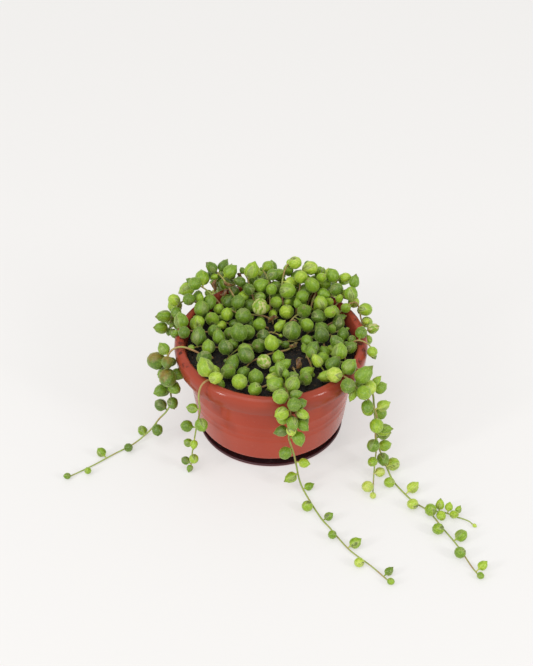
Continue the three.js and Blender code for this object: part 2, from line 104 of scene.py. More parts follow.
# Outline of the pot as (radius, height): up the outside from its foot, and down the inside
POT_OUTSIDE = [
    (FOOT_RING_RADIUS - 2.6, POT_STAND_Z),
    (FOOT_RING_RADIUS, POT_STAND_Z),
    (FOOT_RING_RADIUS + 0.4, WALL_FOOT_Z),
    (WALL_FOOT_RADIUS - 0.3, WALL_FOOT_Z),
    (wall_radius(WALL_START_Z), WALL_START_Z),
    (wall_radius(COLLAR_BOTTOM), COLLAR_BOTTOM),
    (wall_radius(COLLAR_BOTTOM) + 2.4, RIM_TOP - 2),
    (RIM_RADIUS - 2.2, RIM_TOP - 2.1),
    (RIM_RADIUS - COLLAR_TAPER - 1.6, COLLAR_BOTTOM),
    (RIM_RADIUS - COLLAR_TAPER, COLLAR_BOTTOM),
    (RIM_RADIUS, RIM_TOP - 4),
    (RIM_RADIUS - 0.2, RIM_TOP - 1.8),
    (RIM_RADIUS - 1.1, RIM_TOP - 0.5),
    (RIM_RADIUS - 2.6, RIM_TOP),
]
POT_INSIDE = [
    (MOUTH_RADIUS + 1, RIM_TOP),
    (MOUTH_RADIUS, RIM_TOP - 0.6),
    (wall_radius(COLLAR_BOTTOM) - WALL_THICKNESS, COLLAR_BOTTOM),
    (wall_radius(INNER_FOOT_Z) - WALL_THICKNESS, INNER_FOOT_Z),
    (FOOT_RING_RADIUS, WALL_START_Z),
    (FOOT_RING_RADIUS - 1.2, FLOOR_TOP),
]


def strand(name, root, spacing, size, lift, route, crowded=(0, 0), bare=(0, 0)):
    """A strand as the CAD part has it. Leaf spacing and size go from the root's value to the tip's."""
    return {
        "name": name, "root": root, "spacing": spacing, "size": size, "lift": lift, "route": route,
        "crowded": crowded, "bare": bare,
    }


STRANDS = [
    strand("trail_front", (4, -22), (6.4, 13.5), (3.5, 2.7), 25, [
        (5, -29, 57.5), (6.5, -36, 58.5), (7.5, -43, 61), (8.5, -49, 63.4), (9.5, -54.5, 63),
        (10, -58, 59), (10.3, -58.5, 52), (9.8, -57.5, 44), (9.5, -56.3, 37), (11, -56, 30),
        (12.8, -56.3, 22.5), (14.2, -56.8, 14.5), (15.5, -57.5, 7), (17.5, -60.5, 2), (22.5, -71.9),
        (27.6, -82.8), (31.2, -88.2), (35.2, -94.9), (41.6, -104.5), (49.1, -112), (53.5, -116.6),
        (60.6, -125.1),
    ], crowded=(29, 60)),
    strand("trail_left", (-33, -13), (7, 16), (4.8, 2.2), 20, [
        (-38, -12.5, 58.5), (-44, -12, 61.8), (-50, -11.5, 63.6), (-55.4, -12.8, 62.3),
        (-58.6, -15.2, 57), (-58.4, -17.2, 49.4), (-57.4, -18.6, 40), (-57, -19.4, 30),
        (-60, -19.2, 22), (-65, -18, 14.5), (-69.3, -18.8, 8), (-74.7, -20.6, 3),
        (-80.8, -25.6, 1.2), (-90.6, -32.9), (-101.7, -42), (-114, -50.8),
    ], crowded=(37, 60), bare=(14, 36)),
    strand("trail_front_left", (-24, -27), (7, 7.5), (4.9, 2.4), 30, [
        (-28, -32.5, 58), (-31, -36, 61.4), (-34.3, -39.8, 63.8), (-37.5, -43.2, 63),
        (-39, -45.5, 58.5), (-38.9, -46, 52.5), (-38.8, -45.6, 47.5), (-39.6, -45.2, 42),
        (-41, -44.7, 34.5), (-42.3, -44.8, 27), (-43.4, -44, 19), (-44.6, -43.6, 11.5),
        (-45.4, -44.6, 3.6),
    ], bare=(32, 46)),
    strand("trail_right", (31, -14), (7, 11), (4.7, 2.9), 25, [
        (34, -18, 58), (37.7, -22, 61.6), (42.2, -26.6, 63.9), (47, -30.4, 63.9), (51.3, -33.2, 61),
        (54.3, -35, 55.5), (56, -36, 49.5), (56.8, -36.4, 43), (57.8, -37, 35), (58, -38, 27.5),
        (60, -40, 17), (63.3, -43.6, 8.5), (66.2, -48, 3.4), (69, -55, 1.2), (75.5, -65.6),
        (80, -71.1), (86.2, -77), (92.7, -89.3), (99.2, -101.8), (104.5, -115.3), (107.5, -121.2),
    ], bare=(22, 42)),
    strand("trail_right_short", (29, -25), (7, 8), (4.7, 2.8), 25, [
        (32.5, -29, 58), (35.3, -32.4, 61.4), (39, -36.5, 63.9), (42.7, -39.8, 63.4),
        (46, -42.4, 60.8), (50, -44, 57), (54.5, -44.5, 51), (57.5, -44.5, 43), (58.3, -44.8, 35),
        (57.8, -45.2, 28), (58.8, -46.7, 20), (58.3, -49.2, 11), (57.8, -53, 4), (57.3, -58, 1),
        (56.6, -65.2),
    ]),
    strand("hang_left", (-31, 24), (19, 6.5), (3.7, 3.4), 35, [
        (-36, 26, 59), (-41, 27.5, 62.9), (-46, 29, 64.8), (-51, 29.5, 64.4), (-55.5, 28.5, 60.5),
        (-58.5, 26.5, 54), (-60, 24.5, 47),
    ], crowded=(34, 58)),
    strand("over_right", (37, 22), (6.4, 6.6), (3.8, 3.4), 35, [
        (41.5, 24.5, 61.5), (46, 27, 64.6), (49.8, 28, 64.4), (51.6, 26, 61.5), (52.4, 23, 58),
        (53.4, 19.5, 55.5), (54.8, 15.5, 54), (55.9, 11, 52.8),
    ]),
    strand("over_right_low", (44.5, -3.5), (6.5, 9), (2.6, 3.6), 25, [
        (46.4, -4.2, 60.8), (48.8, -5.2, 63.2), (52, -6.8, 63.6), (55.3, -8.6, 62.2),
        (56.8, -10.4, 58.5),
    ]),
    strand("back_left_outer", (-26, 28), (5.8, 6.4), (5.2, 4.7), 35, [
        (-31, 32, 62), (-36, 35, 66.5), (-41, 37, 69.5), (-46, 38.5, 71.5),
    ]),
    strand("back_left", (-15, 26), (6.4, 6.9), (4.3, 4.4), 35, [
        (-19, 30, 62), (-23, 34.5, 67), (-26.5, 39, 71), (-30, 43.5, 73), (-33, 48, 73),
    ]),
    strand("back_mid_left", (-7, 26), (5.8, 6.4), (4.5, 4.3), 35, [
        (-9.5, 31, 62.5), (-12, 36, 68), (-13.5, 41, 71.5), (-16, 46, 73),
    ]),
    strand("back_mid", (0, 27), (5.8, 6.4), (4.5, 4.1), 35, [
        (-0.5, 32, 63), (-1, 37, 68.5), (-2, 42, 72.5), (-5, 46.5, 74.5),
    ]),
    strand("back_mid_right", (8, 26), (5.6, 6.2), (4.7, 3.8), 40, [
        (7, 31, 63), (6.5, 36, 68.5), (7, 41, 72.5), (8.5, 46, 75.5), (10.5, 50.5, 76),
    ]),
    strand("back_high", (15, 27), (6, 6.6), (5, 3.8), 40, [
        (15.5, 32, 63), (17, 37, 68), (17.5, 42, 71.5), (18.5, 47, 74), (21, 51, 74.5),
    ]),
    strand("back_right", (23, 27), (5.8, 6.4), (4.1, 4.3), 40, [
        (24.5, 32, 62.5), (27, 36.5, 67), (28, 41, 70.5), (30, 46, 72.5),
    ]),
    strand("back_right_outer", (31, 26), (5.8, 6.4), (4.3, 4.3), 40, [
        (33.5, 31, 62), (36, 35.5, 66), (38, 40, 69), (40.5, 44, 70.5),
    ]),
    strand("back_right_low", (34.5, 26.5), (5.8, 6.4), (4.3, 4.3), 35, [
        (36.8, 28.2, 60.3), (40.3, 30.5, 63.8), (44.2, 33, 66.3), (48, 35.5, 68),
    ]),
    strand("back_across", (-14, 33), (6, 6.2), (4.4, 4.3), 35, [
        (-13.5, 38, 60.5), (-10, 41.8, 63.8), (-4, 43.8, 65.4), (3, 44.3, 66), (10, 44, 66),
        (16, 42.6, 65.6),
    ]),
    strand("middle_left", (1, 19), (6.4, 7), (4.6, 4.1), 40, [
        (-1.5, 20.5, 59), (-7, 20, 61.5), (-13, 19.5, 62), (-18, 20, 62.3), (-23, 22.5, 63),
    ]),
    strand("middle_right", (9, 11), (6.4, 7), (4.8, 3.9), 40, [
        (11, 17, 58.5), (15, 20.5, 61), (21, 20.5, 62), (27, 20, 62.3), (32, 21, 63),
    ]),
    strand("big_leaf", (9, 0), (8.2, 8.2), (5.9, 4.4), 35, [
        (14, 1, 57.5), (19, 3.5, 58), (24, 4, 58),
    ]),
    strand("centre", (-8, 6.5), (7, 7), (4.8, 4.6), 30, [
        (-4, 7, 58.3), (1, 8, 58.3), (5, 5, 58.5),
    ]),
    strand("centre_left", (-2, 13), (7, 7), (4.1, 4.8), 30, [
        (-7, 12.5, 57.5), (-12.5, 12, 58.2), (-17, 9, 58.2), (-17.5, 5.5, 58),
    ]),
    strand("left_upper", (-24, 17), (7, 7), (4.4, 4.4), 35, [
        (-30, 17.5, 57.5), (-36, 18, 58.5), (-41, 18.5, 60),
    ]),
    strand("left", (-21, 8), (7, 7), (4.6, 3.8), 30, [
        (-27, 8, 57.5), (-34, 7.8, 58.5), (-40, 7, 59.5), (-45, 4.5, 62), (-49, 3, 63.8),
        (-52.5, 2.5, 62.6),
    ]),
    strand("left_lower", (-22, 1), (7, 7), (4.4, 4.4), 30, [
        (-27, -4, 57.5), (-33, -5, 58), (-39, -4, 58), (-43.5, -6, 58.6),
    ]),
    strand("middle_front_left", (-4, -3), (7, 7.6), (4.6, 4.9), 30, [
        (-9, -3.5, 57.5), (-14, -2.5, 58), (-18, -6, 58), (-22, -11, 58), (-25, -16, 57.8),
    ]),
    strand("middle_front", (14, -3), (7, 7.6), (4.6, 5.1), 30, [
        (9, -7.5, 58), (2, -11.5, 59.5), (-5, -15.5, 59.8), (-11, -19, 59), (-14, -22.5, 58.2),
    ]),
    strand("front_left", (0, -35.5), (7, 7.6), (3.9, 4.9), 30, [
        (-5.5, -38.8, 57.8), (-11, -39, 58.4), (-16.5, -36, 58.4), (-20.5, -31, 58),
    ]),
    strand("front_right", (12, -22), (7, 7.6), (4.8, 5.1), 30, [
        (14, -28, 57.5), (16.5, -32.5, 58), (19.5, -35, 58.2),
    ]),
    strand("right_front", (20, -12), (7, 7), (4.4, 3.9), 30, [
        (21.5, -17, 57.5), (22.5, -22.5, 58), (23, -28, 58),
    ]),
    strand("right_lower", (41, 0), (7, 7), (3, 4.8), 30, [
        (41.5, -6, 57.5), (41, -12, 58.2), (41.5, -18, 59),
    ]),
    strand("right", (30, -4), (7, 7.6), (4.4, 4.8), 30, [
        (30.5, 1, 57.5), (33, 5.5, 58), (38, 8.5, 58.5), (43, 9.5, 59.3),
    ]),
    strand("right_upper", (21, 8), (7, 7), (4.5, 4.8), 35, [
        (26, 11.5, 57.5), (31.5, 14, 58), (36, 16.5, 59), (41, 18.5, 59.8),
    ]),
    strand("over_back_left", (-21, 38), (7.4, 8), (4.4, 3.3), 30, [
        (-22, 41, 59.5), (-23.5, 43.8, 62.6), (-25.5, 48, 64.4), (-27.5, 52.3, 62.8),
        (-28.7, 54.8, 57.5), (-29, 56, 51), (-28.5, 56.5, 44),
    ]),
    strand("over_back", (-2, 40), (7.4, 8.4), (4.4, 3.1), 30, [
        (-1.5, 44.3, 60), (-1, 48, 63), (0, 53, 64.5), (1, 57.6, 62.6), (1.5, 59.8, 57),
        (1.5, 59.8, 49), (0.5, 59, 41), (0, 58.5, 33),
    ]),
    strand("over_back_right", (22, 36.5), (7.4, 8), (4.4, 3.3), 30, [
        (23.3, 38.8, 59.5), (25, 41.5, 62.6), (28, 45.5, 64.6), (31, 49, 62.8), (33, 51.2, 57.5),
        (34, 52, 50.5), (33.5, 52, 43.5),
    ]),
]

# Side shoots, given as strands are, but each starts on the stem of the strand that it is named after.
# They have no leaf spacing, because only the smaller extra leaves grow on them.
SHOOTS = [
    strand("trail_front", None, None, (3.5, 3.1), 40, [
        (9.4, -53.9, 63.1), (11.8, -56.6, 61.5), (13.2, -58.4, 57.5), (13.4, -58.4, 51),
        (13, -57.6, 44),
    ]),
    strand("trail_right", None, None, (2.6, 2), 35, [
        (86.9, -77.8), (91.5, -78, 1.9), (96, -79.6, 2.2), (99.1, -81.1, 1.6), (103.8, -82.5, 1.2),
        (107.4, -84.6, 1.3), (109.4, -87, 1.2),
    ], bare=(15, 40)),
]


def seeded_random(seed):
    """Random draws in [0, 1), the same as the CAD part's for the same seed."""
    modulus = 2147483647
    state = (seed * 48271 + 11) % modulus

    def draw():
        nonlocal state
        state = (state * 16807) % modulus
        return state / modulus

    return draw


# A leaf's room: its tip ball's share of its body's radius, the step between its stalk's balls, and the
# length of its own stem, beyond its stalk's length, that isn't in its way
TIP_BALL = 0.25
STALK_BALL_STEP = 2.2
OWN_STEM = 2.2
# A leaf's lift varies over this many degrees
LIFT_SPREAD = 40


def unit(vector):
    return vector / math.sqrt(vector @ vector)


def mix(start, end, share):
    return start + (end - start) * share


def curve_point(points, share):
    """A point on the smooth curve through all the points, share running from 0 to 1."""
    spans = len(points) - 1
    i = min(int(spans * share), spans - 1)
    w = spans * share - i
    before = points[i - 1] if i > 0 else 2 * points[0] - points[1]
    after = points[i + 2] if i + 2 <= spans else 2 * points[-1] - points[-2]
    start, end = points[i], points[i + 1]
    slope_in, slope_out = 0.5 * (end - before), 0.5 * (after - start)
    square = -3 * start + 3 * end - 2 * slope_in - slope_out
    cube = 2 * start - 2 * end + slope_in + slope_out
    return start + slope_in * w + square * w * w + cube * w * w * w


def curve_lengths(points):
    shares = np.linspace(0, 1, 201)
    places = np.array([curve_point(points, share) for share in shares])
    steps = np.linalg.norm(np.diff(places, axis=0), axis=1)
    return shares, np.concatenate([[0], np.cumsum(steps)])


def strand_points(row):
    places = [(*place, LYING_Z)[:3] for place in row["route"]]
    if row["root"]:
        x, y = row["root"]
        top = soil_height(math.hypot(x, y))
        heights = [top - ROOT_DEPTH, top - ROOT_DEPTH / 2, top + STEM_RISE]
        places = [(x, y, z) for z in heights] + places
    return [np.array(place, float) for place in places]


def stem_samples(points):
    """Points on the straight lengths of the CAD stem, with their distance from its root end."""
    shares, lengths = curve_lengths(points)
    steps = math.floor(lengths[-1] / STEM_STEP + 0.5)
    targets = np.linspace(0, 1, steps + 1) * lengths[-1]
    corners = [curve_point(points, share) for share in np.interp(targets, lengths, shares)]
    places, distances = [corners[0]], [0.0]
    for corner in corners[1:]:
        start, begun = places[-1], distances[-1]
        length = np.linalg.norm(corner - start)
        for j in range(1, SAMPLES_PER_STEP + 1):
            share = j / SAMPLES_PER_STEP
            places.append(mix(start, corner, share))
            distances.append(begun + share * length)
    return np.array(places), np.array(distances)


def point_along(samples, distance):
    places, distances = samples
    i = int(np.searchsorted(distances, distance))
    share = (distance - distances[i - 1]) / (distances[i] - distances[i - 1])
    return mix(places[i - 1], places[i], share), unit(places[i] - places[i - 1])


OUTLINE = np.array(POT_OUTSIDE + POT_INSIDE, float)


def pot_distance(point):
    """Distance from a point to the pot's surface, or to the soil inside it."""
    radius = math.hypot(point[0], point[1])
    starts, spans = OUTLINE[:-1], np.diff(OUTLINE, axis=0)
    offset = np.array([radius, point[2]]) - starts
    share = np.clip((offset * spans).sum(1) / (spans * spans).sum(1), 0, 1)
    nearest = np.linalg.norm(offset - spans * share[:, None], axis=1).min()
    if radius < MOUTH_RADIUS:
        nearest = min(nearest, point[2] - soil_height(radius))
    return nearest


def leaf_balls(leaf):
    """The balls that stand for a leaf when its room is tested: body, pointed tip and stalk."""
    radius, stalk = leaf["radius"], leaf["stalk"]
    tip_radius = radius * TIP_BALL
    reach = stalk + radius + leaf["reach"] - tip_radius
    parts = max(1, round(stalk / STALK_BALL_STEP))
    places = [(stalk + radius, radius), (reach, tip_radius)]
    places += [(STEM_RADIUS + stalk * (i + 0.5) / parts, STALK_RADIUS) for i in range(parts)]
    return [(leaf["base"] + leaf["direction"] * along, size) for along, size in places]


def ball_fits(centre, radius, centres, radii, gap):
    if centre[2] < radius + FLOOR_GAP or pot_distance(centre) < radius + gap:
        return False
    away = centres - centre
    return bool(np.all(np.sqrt((away * away).sum(1)) >= radii + radius + gap))


def turned(vector, axis, degrees):
    angle = math.radians(degrees)
    cos, sin = math.cos(angle), math.sin(angle)
    return vector * cos + np.cross(axis, vector) * sin + axis * (axis @ vector) * (1 - cos)


TURN_TRIES = [0, 22, -22, 44, -44, 66, -66, 90, -90, 115, -115, 140, -140]
LEAN_TRIES = [0, 28, -28]
SIZE_TRIES = [1, 0.86, 0.73]


def settle_leaf(wish, centres, radii, gap):
    """The first direction and size with room for a leaf, starting from the one that it prefers."""
    for share in SIZE_TRIES:
        radius = wish["radius"] * share
        for turn in TURN_TRIES:
            for lean in LEAN_TRIES:
                direction = turned(wish["direction"], wish["tangent"], turn * wish["side"])
                direction = turned(direction, wish["across"], lean)
                leaf = {**wish, "direction": direction, "radius": radius, "reach": radius * wish["point"]}
                if all(ball_fits(*ball, centres, radii, gap) for ball in leaf_balls(leaf)):
                    return leaf
    return None


def is_within(stretch, distance):
    start, end = stretch
    return start < distance < end


def leaf_wish(row, samples, distance, side, random):
    """The leaf that a place on a stem prefers. Sides alternate, and a longer point makes it slimmer."""
    share = distance / samples[1][-1]
    base, tangent = point_along(samples, distance)
    steep = abs(tangent[2])
    outward = unit(np.array([base[0], base[1], 0.0]))
    above = outward * steep + np.array([0, 0, 1 - steep])
    above = unit(above - tangent * (above @ tangent))
    across = np.cross(tangent, above)
    lift = math.radians(row["lift"] + LIFT_SPREAD * (random() - 0.5))
    direction = across * (side * math.cos(lift)) + above * math.sin(lift)
    crowd = CROWDED_SIZE if is_within(row["crowded"], distance) else 1
    size = mix(row["size"][0], row["size"][1], share) * crowd
    point = 1.15 + 0.85 * random() ** 1.8
    return {
        "base": base,
        "tangent": tangent,
        "across": across,
        "side": side,
        "direction": unit(direction + tangent * (0.5 * (random() - 0.3))),
        "radius": size * (0.84 + 0.32 * random()) * (1.24 - 0.2 * point),
        "stalk": 0.7 + 1.4 * random(),
        "point": point,
        "along": distance,
    }


def leaf_spacing(row, distance, share, random):
    """Distance from one leaf to the next."""
    crowd = CROWDING if is_within(row["crowded"], distance) else 1
    return mix(row["spacing"][0], row["spacing"][1], share) * crowd * (0.85 + 0.3 * random())


class Room:
    """What is in the way of new leaves: every stem, and the leaves grown so far."""

    def __init__(self, grown):
        self.centres = np.concatenate([entry["samples"][0] for entry in grown])
        self.radii = np.full(len(self.centres), STEM_RADIUS)
        self.owner = np.concatenate([np.full(len(e["samples"][0]), i) for i, e in enumerate(grown)])
        self.distance = np.concatenate([entry["samples"][1] for entry in grown])

    def near(self, wish, index, gap):
        reach = wish["stalk"] + 3 * wish["radius"] + gap
        is_close = np.abs(self.distance - wish["along"]) < wish["stalk"] + OWN_STEM
        own_root = (self.owner == index) & is_close
        away = np.linalg.norm(self.centres - wish["base"], axis=1)
        chosen = ~own_root & (away < reach + self.radii)
        return self.centres[chosen], self.radii[chosen]

    def take(self, leaf):
        places, sizes = zip(*leaf_balls(leaf))
        self.centres = np.concatenate([self.centres, places])
        self.radii = np.concatenate([self.radii, sizes])
        self.owner = np.concatenate([self.owner, [-1] * len(sizes)])
        self.distance = np.concatenate([self.distance, [0.0] * len(sizes)])

    def settle(self, row, index, wish, gap, top=math.inf):
        """Places a leaf as a list of one, or of none where it has no room or would pass the top."""
        if is_within(row["bare"], wish["along"]):
            return []
        leaf = settle_leaf(wish, *self.near(wish, index, gap), gap)
        if leaf is None:
            return []
        body, radius = leaf_balls(leaf)[0]
        if body[2] + radius >= top:
            return []
        self.take(leaf)
        return [leaf]


def grow_leaves(row, index, samples, room):
    """The leaves that the CAD part has, in the same places."""
    random = seeded_random(index + 1)
    total = samples[1][-1]
    side = 1 if index % 2 else -1
    distance = ROOT_DEPTH + 3
    leaves = []
    while distance < total:
        wish = leaf_wish(row, samples, distance, side, random)
        leaves += room.settle(row, index, wish, LEAF_GAP)
        side = -side
        distance += leaf_spacing(row, distance, distance / total, random)
    return leaves


def deselect_all():
    bpy.ops.object.select_all(action="DESELECT")


def select_only(*chosen):
    deselect_all()
    for piece in chosen:
        piece.select_set(True)
    bpy.context.view_layer.objects.active = chosen[0]


def edit_part(piece, keep):
    """Goes to edit mode with the vertices selected that the rule keeps."""
    bpy.ops.object.mode_set(mode="OBJECT")
    select_only(piece)
    mesh = piece.data
    mesh.polygons.foreach_set("select", [False] * len(mesh.polygons))
    mesh.edges.foreach_set("select", [False] * len(mesh.edges))
    for vertex in mesh.vertices:
        vertex.select = keep(vertex.co)
    bpy.ops.object.mode_set(mode="EDIT")


def move_selected(x, y, z):
    bpy.ops.transform.translate(value=(x, y, z))


def widen_selected(factor):
    bpy.ops.transform.resize(value=(factor, factor, 1), center_override=(0, 0, 0))


def extrude_up(height):
    bpy.ops.mesh.extrude_region_move(TRANSFORM_OT_translate={"value": (0, 0, height)})


def close_edit():
    """Ends the shaping of a closed piece with its faces turned outwards."""
    bpy.ops.mesh.select_all(action="SELECT")
    bpy.ops.mesh.normals_make_consistent(inside=False)
    bpy.ops.object.mode_set(mode="OBJECT")


def apply_modifier(piece, kind, **settings):
    modifier = piece.modifiers.new(kind.lower(), kind)
    for name, value in settings.items():
        setattr(modifier, name, value)
    select_only(piece)
    bpy.ops.object.modifier_apply(modifier=modifier.name)


def round_piece(name, outline):
    """A round piece drawn out ring by ring, from a disc under its middle along an outline."""
    deselect_all()
    radius, z = outline[0]
    bpy.ops.mesh.primitive_circle_add(vertices=ROUND_SEGMENTS, radius=radius * MM, fill_type="NGON")
    piece = bpy.context.object
    piece.name = name
    bpy.ops.object.mode_set(mode="EDIT")
    bpy.ops.mesh.select_all(action="SELECT")
    move_selected(0, 0, z * MM)
    for next_radius, next_z in outline[1:]:
        extrude_up((next_z - z) * MM)
        widen_selected(next_radius / radius)
        radius, z = next_radius, next_z
    close_edit()
    return piece


def finish_piece(piece, node=None):
    """Attaches a finished piece to the root it rides on, and hides the CAD node that it stands for."""
    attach(piece, "root")
    if node:
        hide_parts(node)


def set_material(piece, material):
    piece.data.materials.clear()
    piece.data.materials.append(material)


# The leaf's model: its sides, its rings, and the height under which its points are the stalk's
LEAF_SIDES = 10
LEAF_RINGS = 7
STALK_START = -1.2
# How far each shape's tip is from its middle, and how much its last ring is drawn in
TIP_SHAPES = {
    "nibbed": (1.12, 0.85), "pointed": (1.3, 0.82), "lemon": (1.5, 0.82), "drop": (1.8, 0.88),
}
# A placed leaf's stalk: the radii of its two rings, and how far it sinks into the stem
STALK_RINGS = (0.3, 0.42)
STALK_SINK = 0.35


def mesh_points(mesh):
    coords = np.empty(3 * len(mesh.vertices))
    mesh.vertices.foreach_get("co", coords)
    return coords.reshape(-1, 3)


def model_leaf(name, point, last_ring, material):
    """A leaf of radius 1 about the origin, drawn out to its tip above and to its stalk below."""
    deselect_all()
    bpy.ops.mesh.primitive_uv_sphere_add(segments=LEAF_SIDES, ring_count=LEAF_RINGS, radius=1)
    leaf = bpy.context.object
    leaf.name = name
    drawn = point - 1
    edit_part(leaf, lambda place: place.z > 0.5)
    move_selected(0, 0, 0.3 * drawn)
    edit_part(leaf, lambda place: place.z > 0.8)
    widen_selected(last_ring)
    move_selected(0, 0, 0.2 * drawn)
    edit_part(leaf, lambda place: abs(place.x) + abs(place.y) < 0.01 and place.z > 0)
    move_selected(0, 0, 0.5 * drawn)
    edit_part(leaf, lambda place: place.z < -0.8)
    widen_selected(0.42)
    move_selected(0, 0, -0.05)
    for width in (0.5, 1.3):
        extrude_up(-0.5)
        widen_selected(width)
    close_edit()
    bpy.ops.object.shade_smooth()
    mesh = leaf.data
    set_material(leaf, material)
    place = mesh.attributes.new("leaf_place", "FLOAT_VECTOR", "POINT")
    place.data.foreach_set("vector", mesh_points(mesh).ravel())
    mesh.attributes.new("leaf_tone", "FLOAT_VECTOR", "POINT")
    return leaf


# Where the light comes from that the plant grows in
LIGHT_SIDE = np.array([0.0, -0.6, 0.8])


def leaf_axes(direction, roll):
    """The leaf's own axes. Its window side faces the light where the roll is 0."""
    across = np.cross(direction, LIGHT_SIDE)
    if across @ across < 0.04:
        across = np.array([1.0, 0.0, 0.0])
    lit = unit(np.cross(across, direction))
    face = lit * math.cos(roll) + np.cross(direction, lit) * math.sin(roll)
    return np.array([np.cross(face, direction), face, direction])


def shrivelled(coords):
    """A leaf's points drawn in, creased and curled, as it dries up."""
    angle, height = np.arctan2(coords[:, 1], coords[:, 0]), coords[:, 2]
    crease = 0.38 + 0.2 * np.cos(2 * angle + 3.5 * height) + 0.12 * np.cos(5 * angle - 4 * height)
    across = coords[:, 0] * crease + 0.35 * np.sin(2.2 * height)
    return np.column_stack([across, coords[:, 1] * 0.8 * crease, 0.75 * height - 0.2])


def sized_points(coords, leaf, upward, is_dry):
    """The model's points at the leaf's own size, up from its base. Upward draws its upper half out."""
    radius, stalk = leaf["radius"], leaf["stalk"] + STALK_SINK
    is_stalk = coords[:, 2] < STALK_START
    if is_dry:
        coords = np.where(is_stalk[:, None], coords, shrivelled(coords))
    is_outer = coords[:, 2] < STALK_START - 0.5
    width = np.hypot(coords[:, 0], coords[:, 1])
    widening = np.where(is_outer, STALK_RINGS[1], STALK_RINGS[0]) / np.maximum(width, 1e-6)
    flat = coords[:, :2] * np.where(is_stalk & (width > 0), widening, radius)[:, None]
    heights = coords[:, 2] * radius * np.where(coords[:, 2] > 0, upward, 1)
    heights = np.where(is_stalk, -radius + (coords[:, 2] + 1) * stalk, heights)
    return np.column_stack([flat, heights + radius + leaf["stalk"]])


def place_leaf(models, leaf, roll, tone):
    """A copy of the leaf's model at its place, with its own mesh."""
    point = leaf["reach"] / leaf["radius"]
    shape = min(TIP_SHAPES, key=lambda name: abs(TIP_SHAPES[name][0] - point))
    copy = models[shape].copy()
    copy.data = models[shape].data.copy()
    bpy.context.collection.objects.link(copy)
    mesh = copy.data
    coords = sized_points(mesh_points(mesh), leaf, point / TIP_SHAPES[shape][0], tone[1] > 1)
    world = (leaf["base"] + coords @ leaf_axes(leaf["direction"], roll)) * MM
    mesh.vertices.foreach_set("co", world.ravel())
    mesh.attributes["leaf_tone"].data.foreach_set("vector", np.tile(tone, len(mesh.vertices)))
    mesh.update()
    return copy


def stem_piece(name, points, thickness, material):
    """A round stem along a smooth run of points, thinner towards its tip."""
    deselect_all()
    bpy.ops.curve.primitive_nurbs_path_add()
    path = bpy.context.object
    path.name = name
    path.data.splines.clear()
    spline = path.data.splines.new("POLY")
    spline.points.add(len(points) - 1)
    for i, (point, place) in enumerate(zip(spline.points, points)):
        point.co = (*(place * MM), 1)
        point.radius = mix(1, 0.62, (i / len(points)) ** 2)
    path.data.bevel_depth = thickness * MM
    path.data.bevel_resolution = 2
    path.data.use_fill_caps = True
    bpy.ops.object.convert(target="MESH")
    piece = bpy.context.object
    bpy.ops.object.shade_smooth()
    set_material(piece, material)
    return piece


def join_pieces(name, *chosen):
    select_only(*chosen)
    bpy.ops.object.join()
    piece = bpy.context.object
    piece.name = name
    piece.data.name = name
    return piece


def new_material(name):
    """A material and its shader."""
    material = bpy.data.materials.new(name)
    material.use_nodes = True
    return material, material.node_tree.nodes["Principled BSDF"]


def is_output(value):
    return isinstance(value, bpy.types.NodeSocket)


def feed(node, **inputs):
    """Gives a node's inputs plain values or links them. In their names an underscore is a space."""
    for name, value in inputs.items():
        name = name.replace("_", " ").strip()
        target = node.inputs[int(name) if name.isdigit() else name]
        if is_output(value):
            node.id_data.links.new(value, target)
        else:
            target.default_value = value


def add_node(kind, settings=None, **inputs):
    """A node with its settings, in the same tree as the outputs that feed it."""
    tree = next(value.id_data for value in inputs.values() if is_output(value))
    node = tree.nodes.new(kind)
    for name, value in (settings or {}).items():
        setattr(node, name, value)
    feed(node, **inputs)
    return node


def maths(operation, first, second=0.0):
    return add_node("ShaderNodeMath", {"operation": operation}, _0=first, _1=second).outputs[0]


def plus(first, second):
    return maths("ADD", first, second)


def minus(first, second):
    return maths("SUBTRACT", first, second)


def times(first, second):
    return maths("MULTIPLY", first, second)


def vector_maths(operation, **inputs):
    return add_node("ShaderNodeVectorMath", {"operation": operation}, **inputs).outputs[0]


def stretched(vector, scale):
    return add_node("ShaderNodeMapping", Vector=vector, Scale=scale).outputs[0]


def split(vector):
    return add_node("ShaderNodeSeparateXYZ", Vector=vector).outputs


def attribute(shader, name):
    node = shader.id_data.nodes.new("ShaderNodeAttribute")
    node.attribute_name = name
    return node.outputs["Vector"]


def object_coords(shader):
    return shader.id_data.nodes.new("ShaderNodeTexCoord").outputs["Object"]


def axis_distance(coords):
    """Distance of a place from the pot's axis."""
    x, y, _ = split(coords)
    return maths("SQRT", plus(times(x, x), times(y, y)))


def mix_colour(share, first, second):
    settings = {"data_type": "RGBA"}
    return add_node("ShaderNodeMix", settings, _0=share, _6=first, _7=second).outputs[2]


def ramp(value, low, high, to_low=0.0, to_high=1.0):
    """A value that goes smoothly from one level to another between two limits."""
    node = add_node(
        "ShaderNodeMapRange", {"interpolation_type": "SMOOTHSTEP"},
        Value=value, From_Min=low, From_Max=high, To_Min=to_low, To_Max=to_high,
    )
    return node.outputs["Result"]


def noise(vector, scale, detail=2.0, roughness=0.5):
    node = add_node(
        "ShaderNodeTexNoise", Vector=vector, Scale=scale, Detail=detail, Roughness=roughness)
    return node.outputs["Fac"]


def bump(height, strength, distance):
    node = add_node("ShaderNodeBump", Height=height, Strength=strength, Distance=distance)
    return node.outputs[0]


def colour(*levels):
    """A colour as read from a screen, its red, green and blue from 0 to 255, made linear."""
    shares = [level / 255 for level in levels]
    return (*(((c + 0.055) / 1.055) ** 2.4 if c > 0.04 else c / 12.92 for c in shares), 1.0)


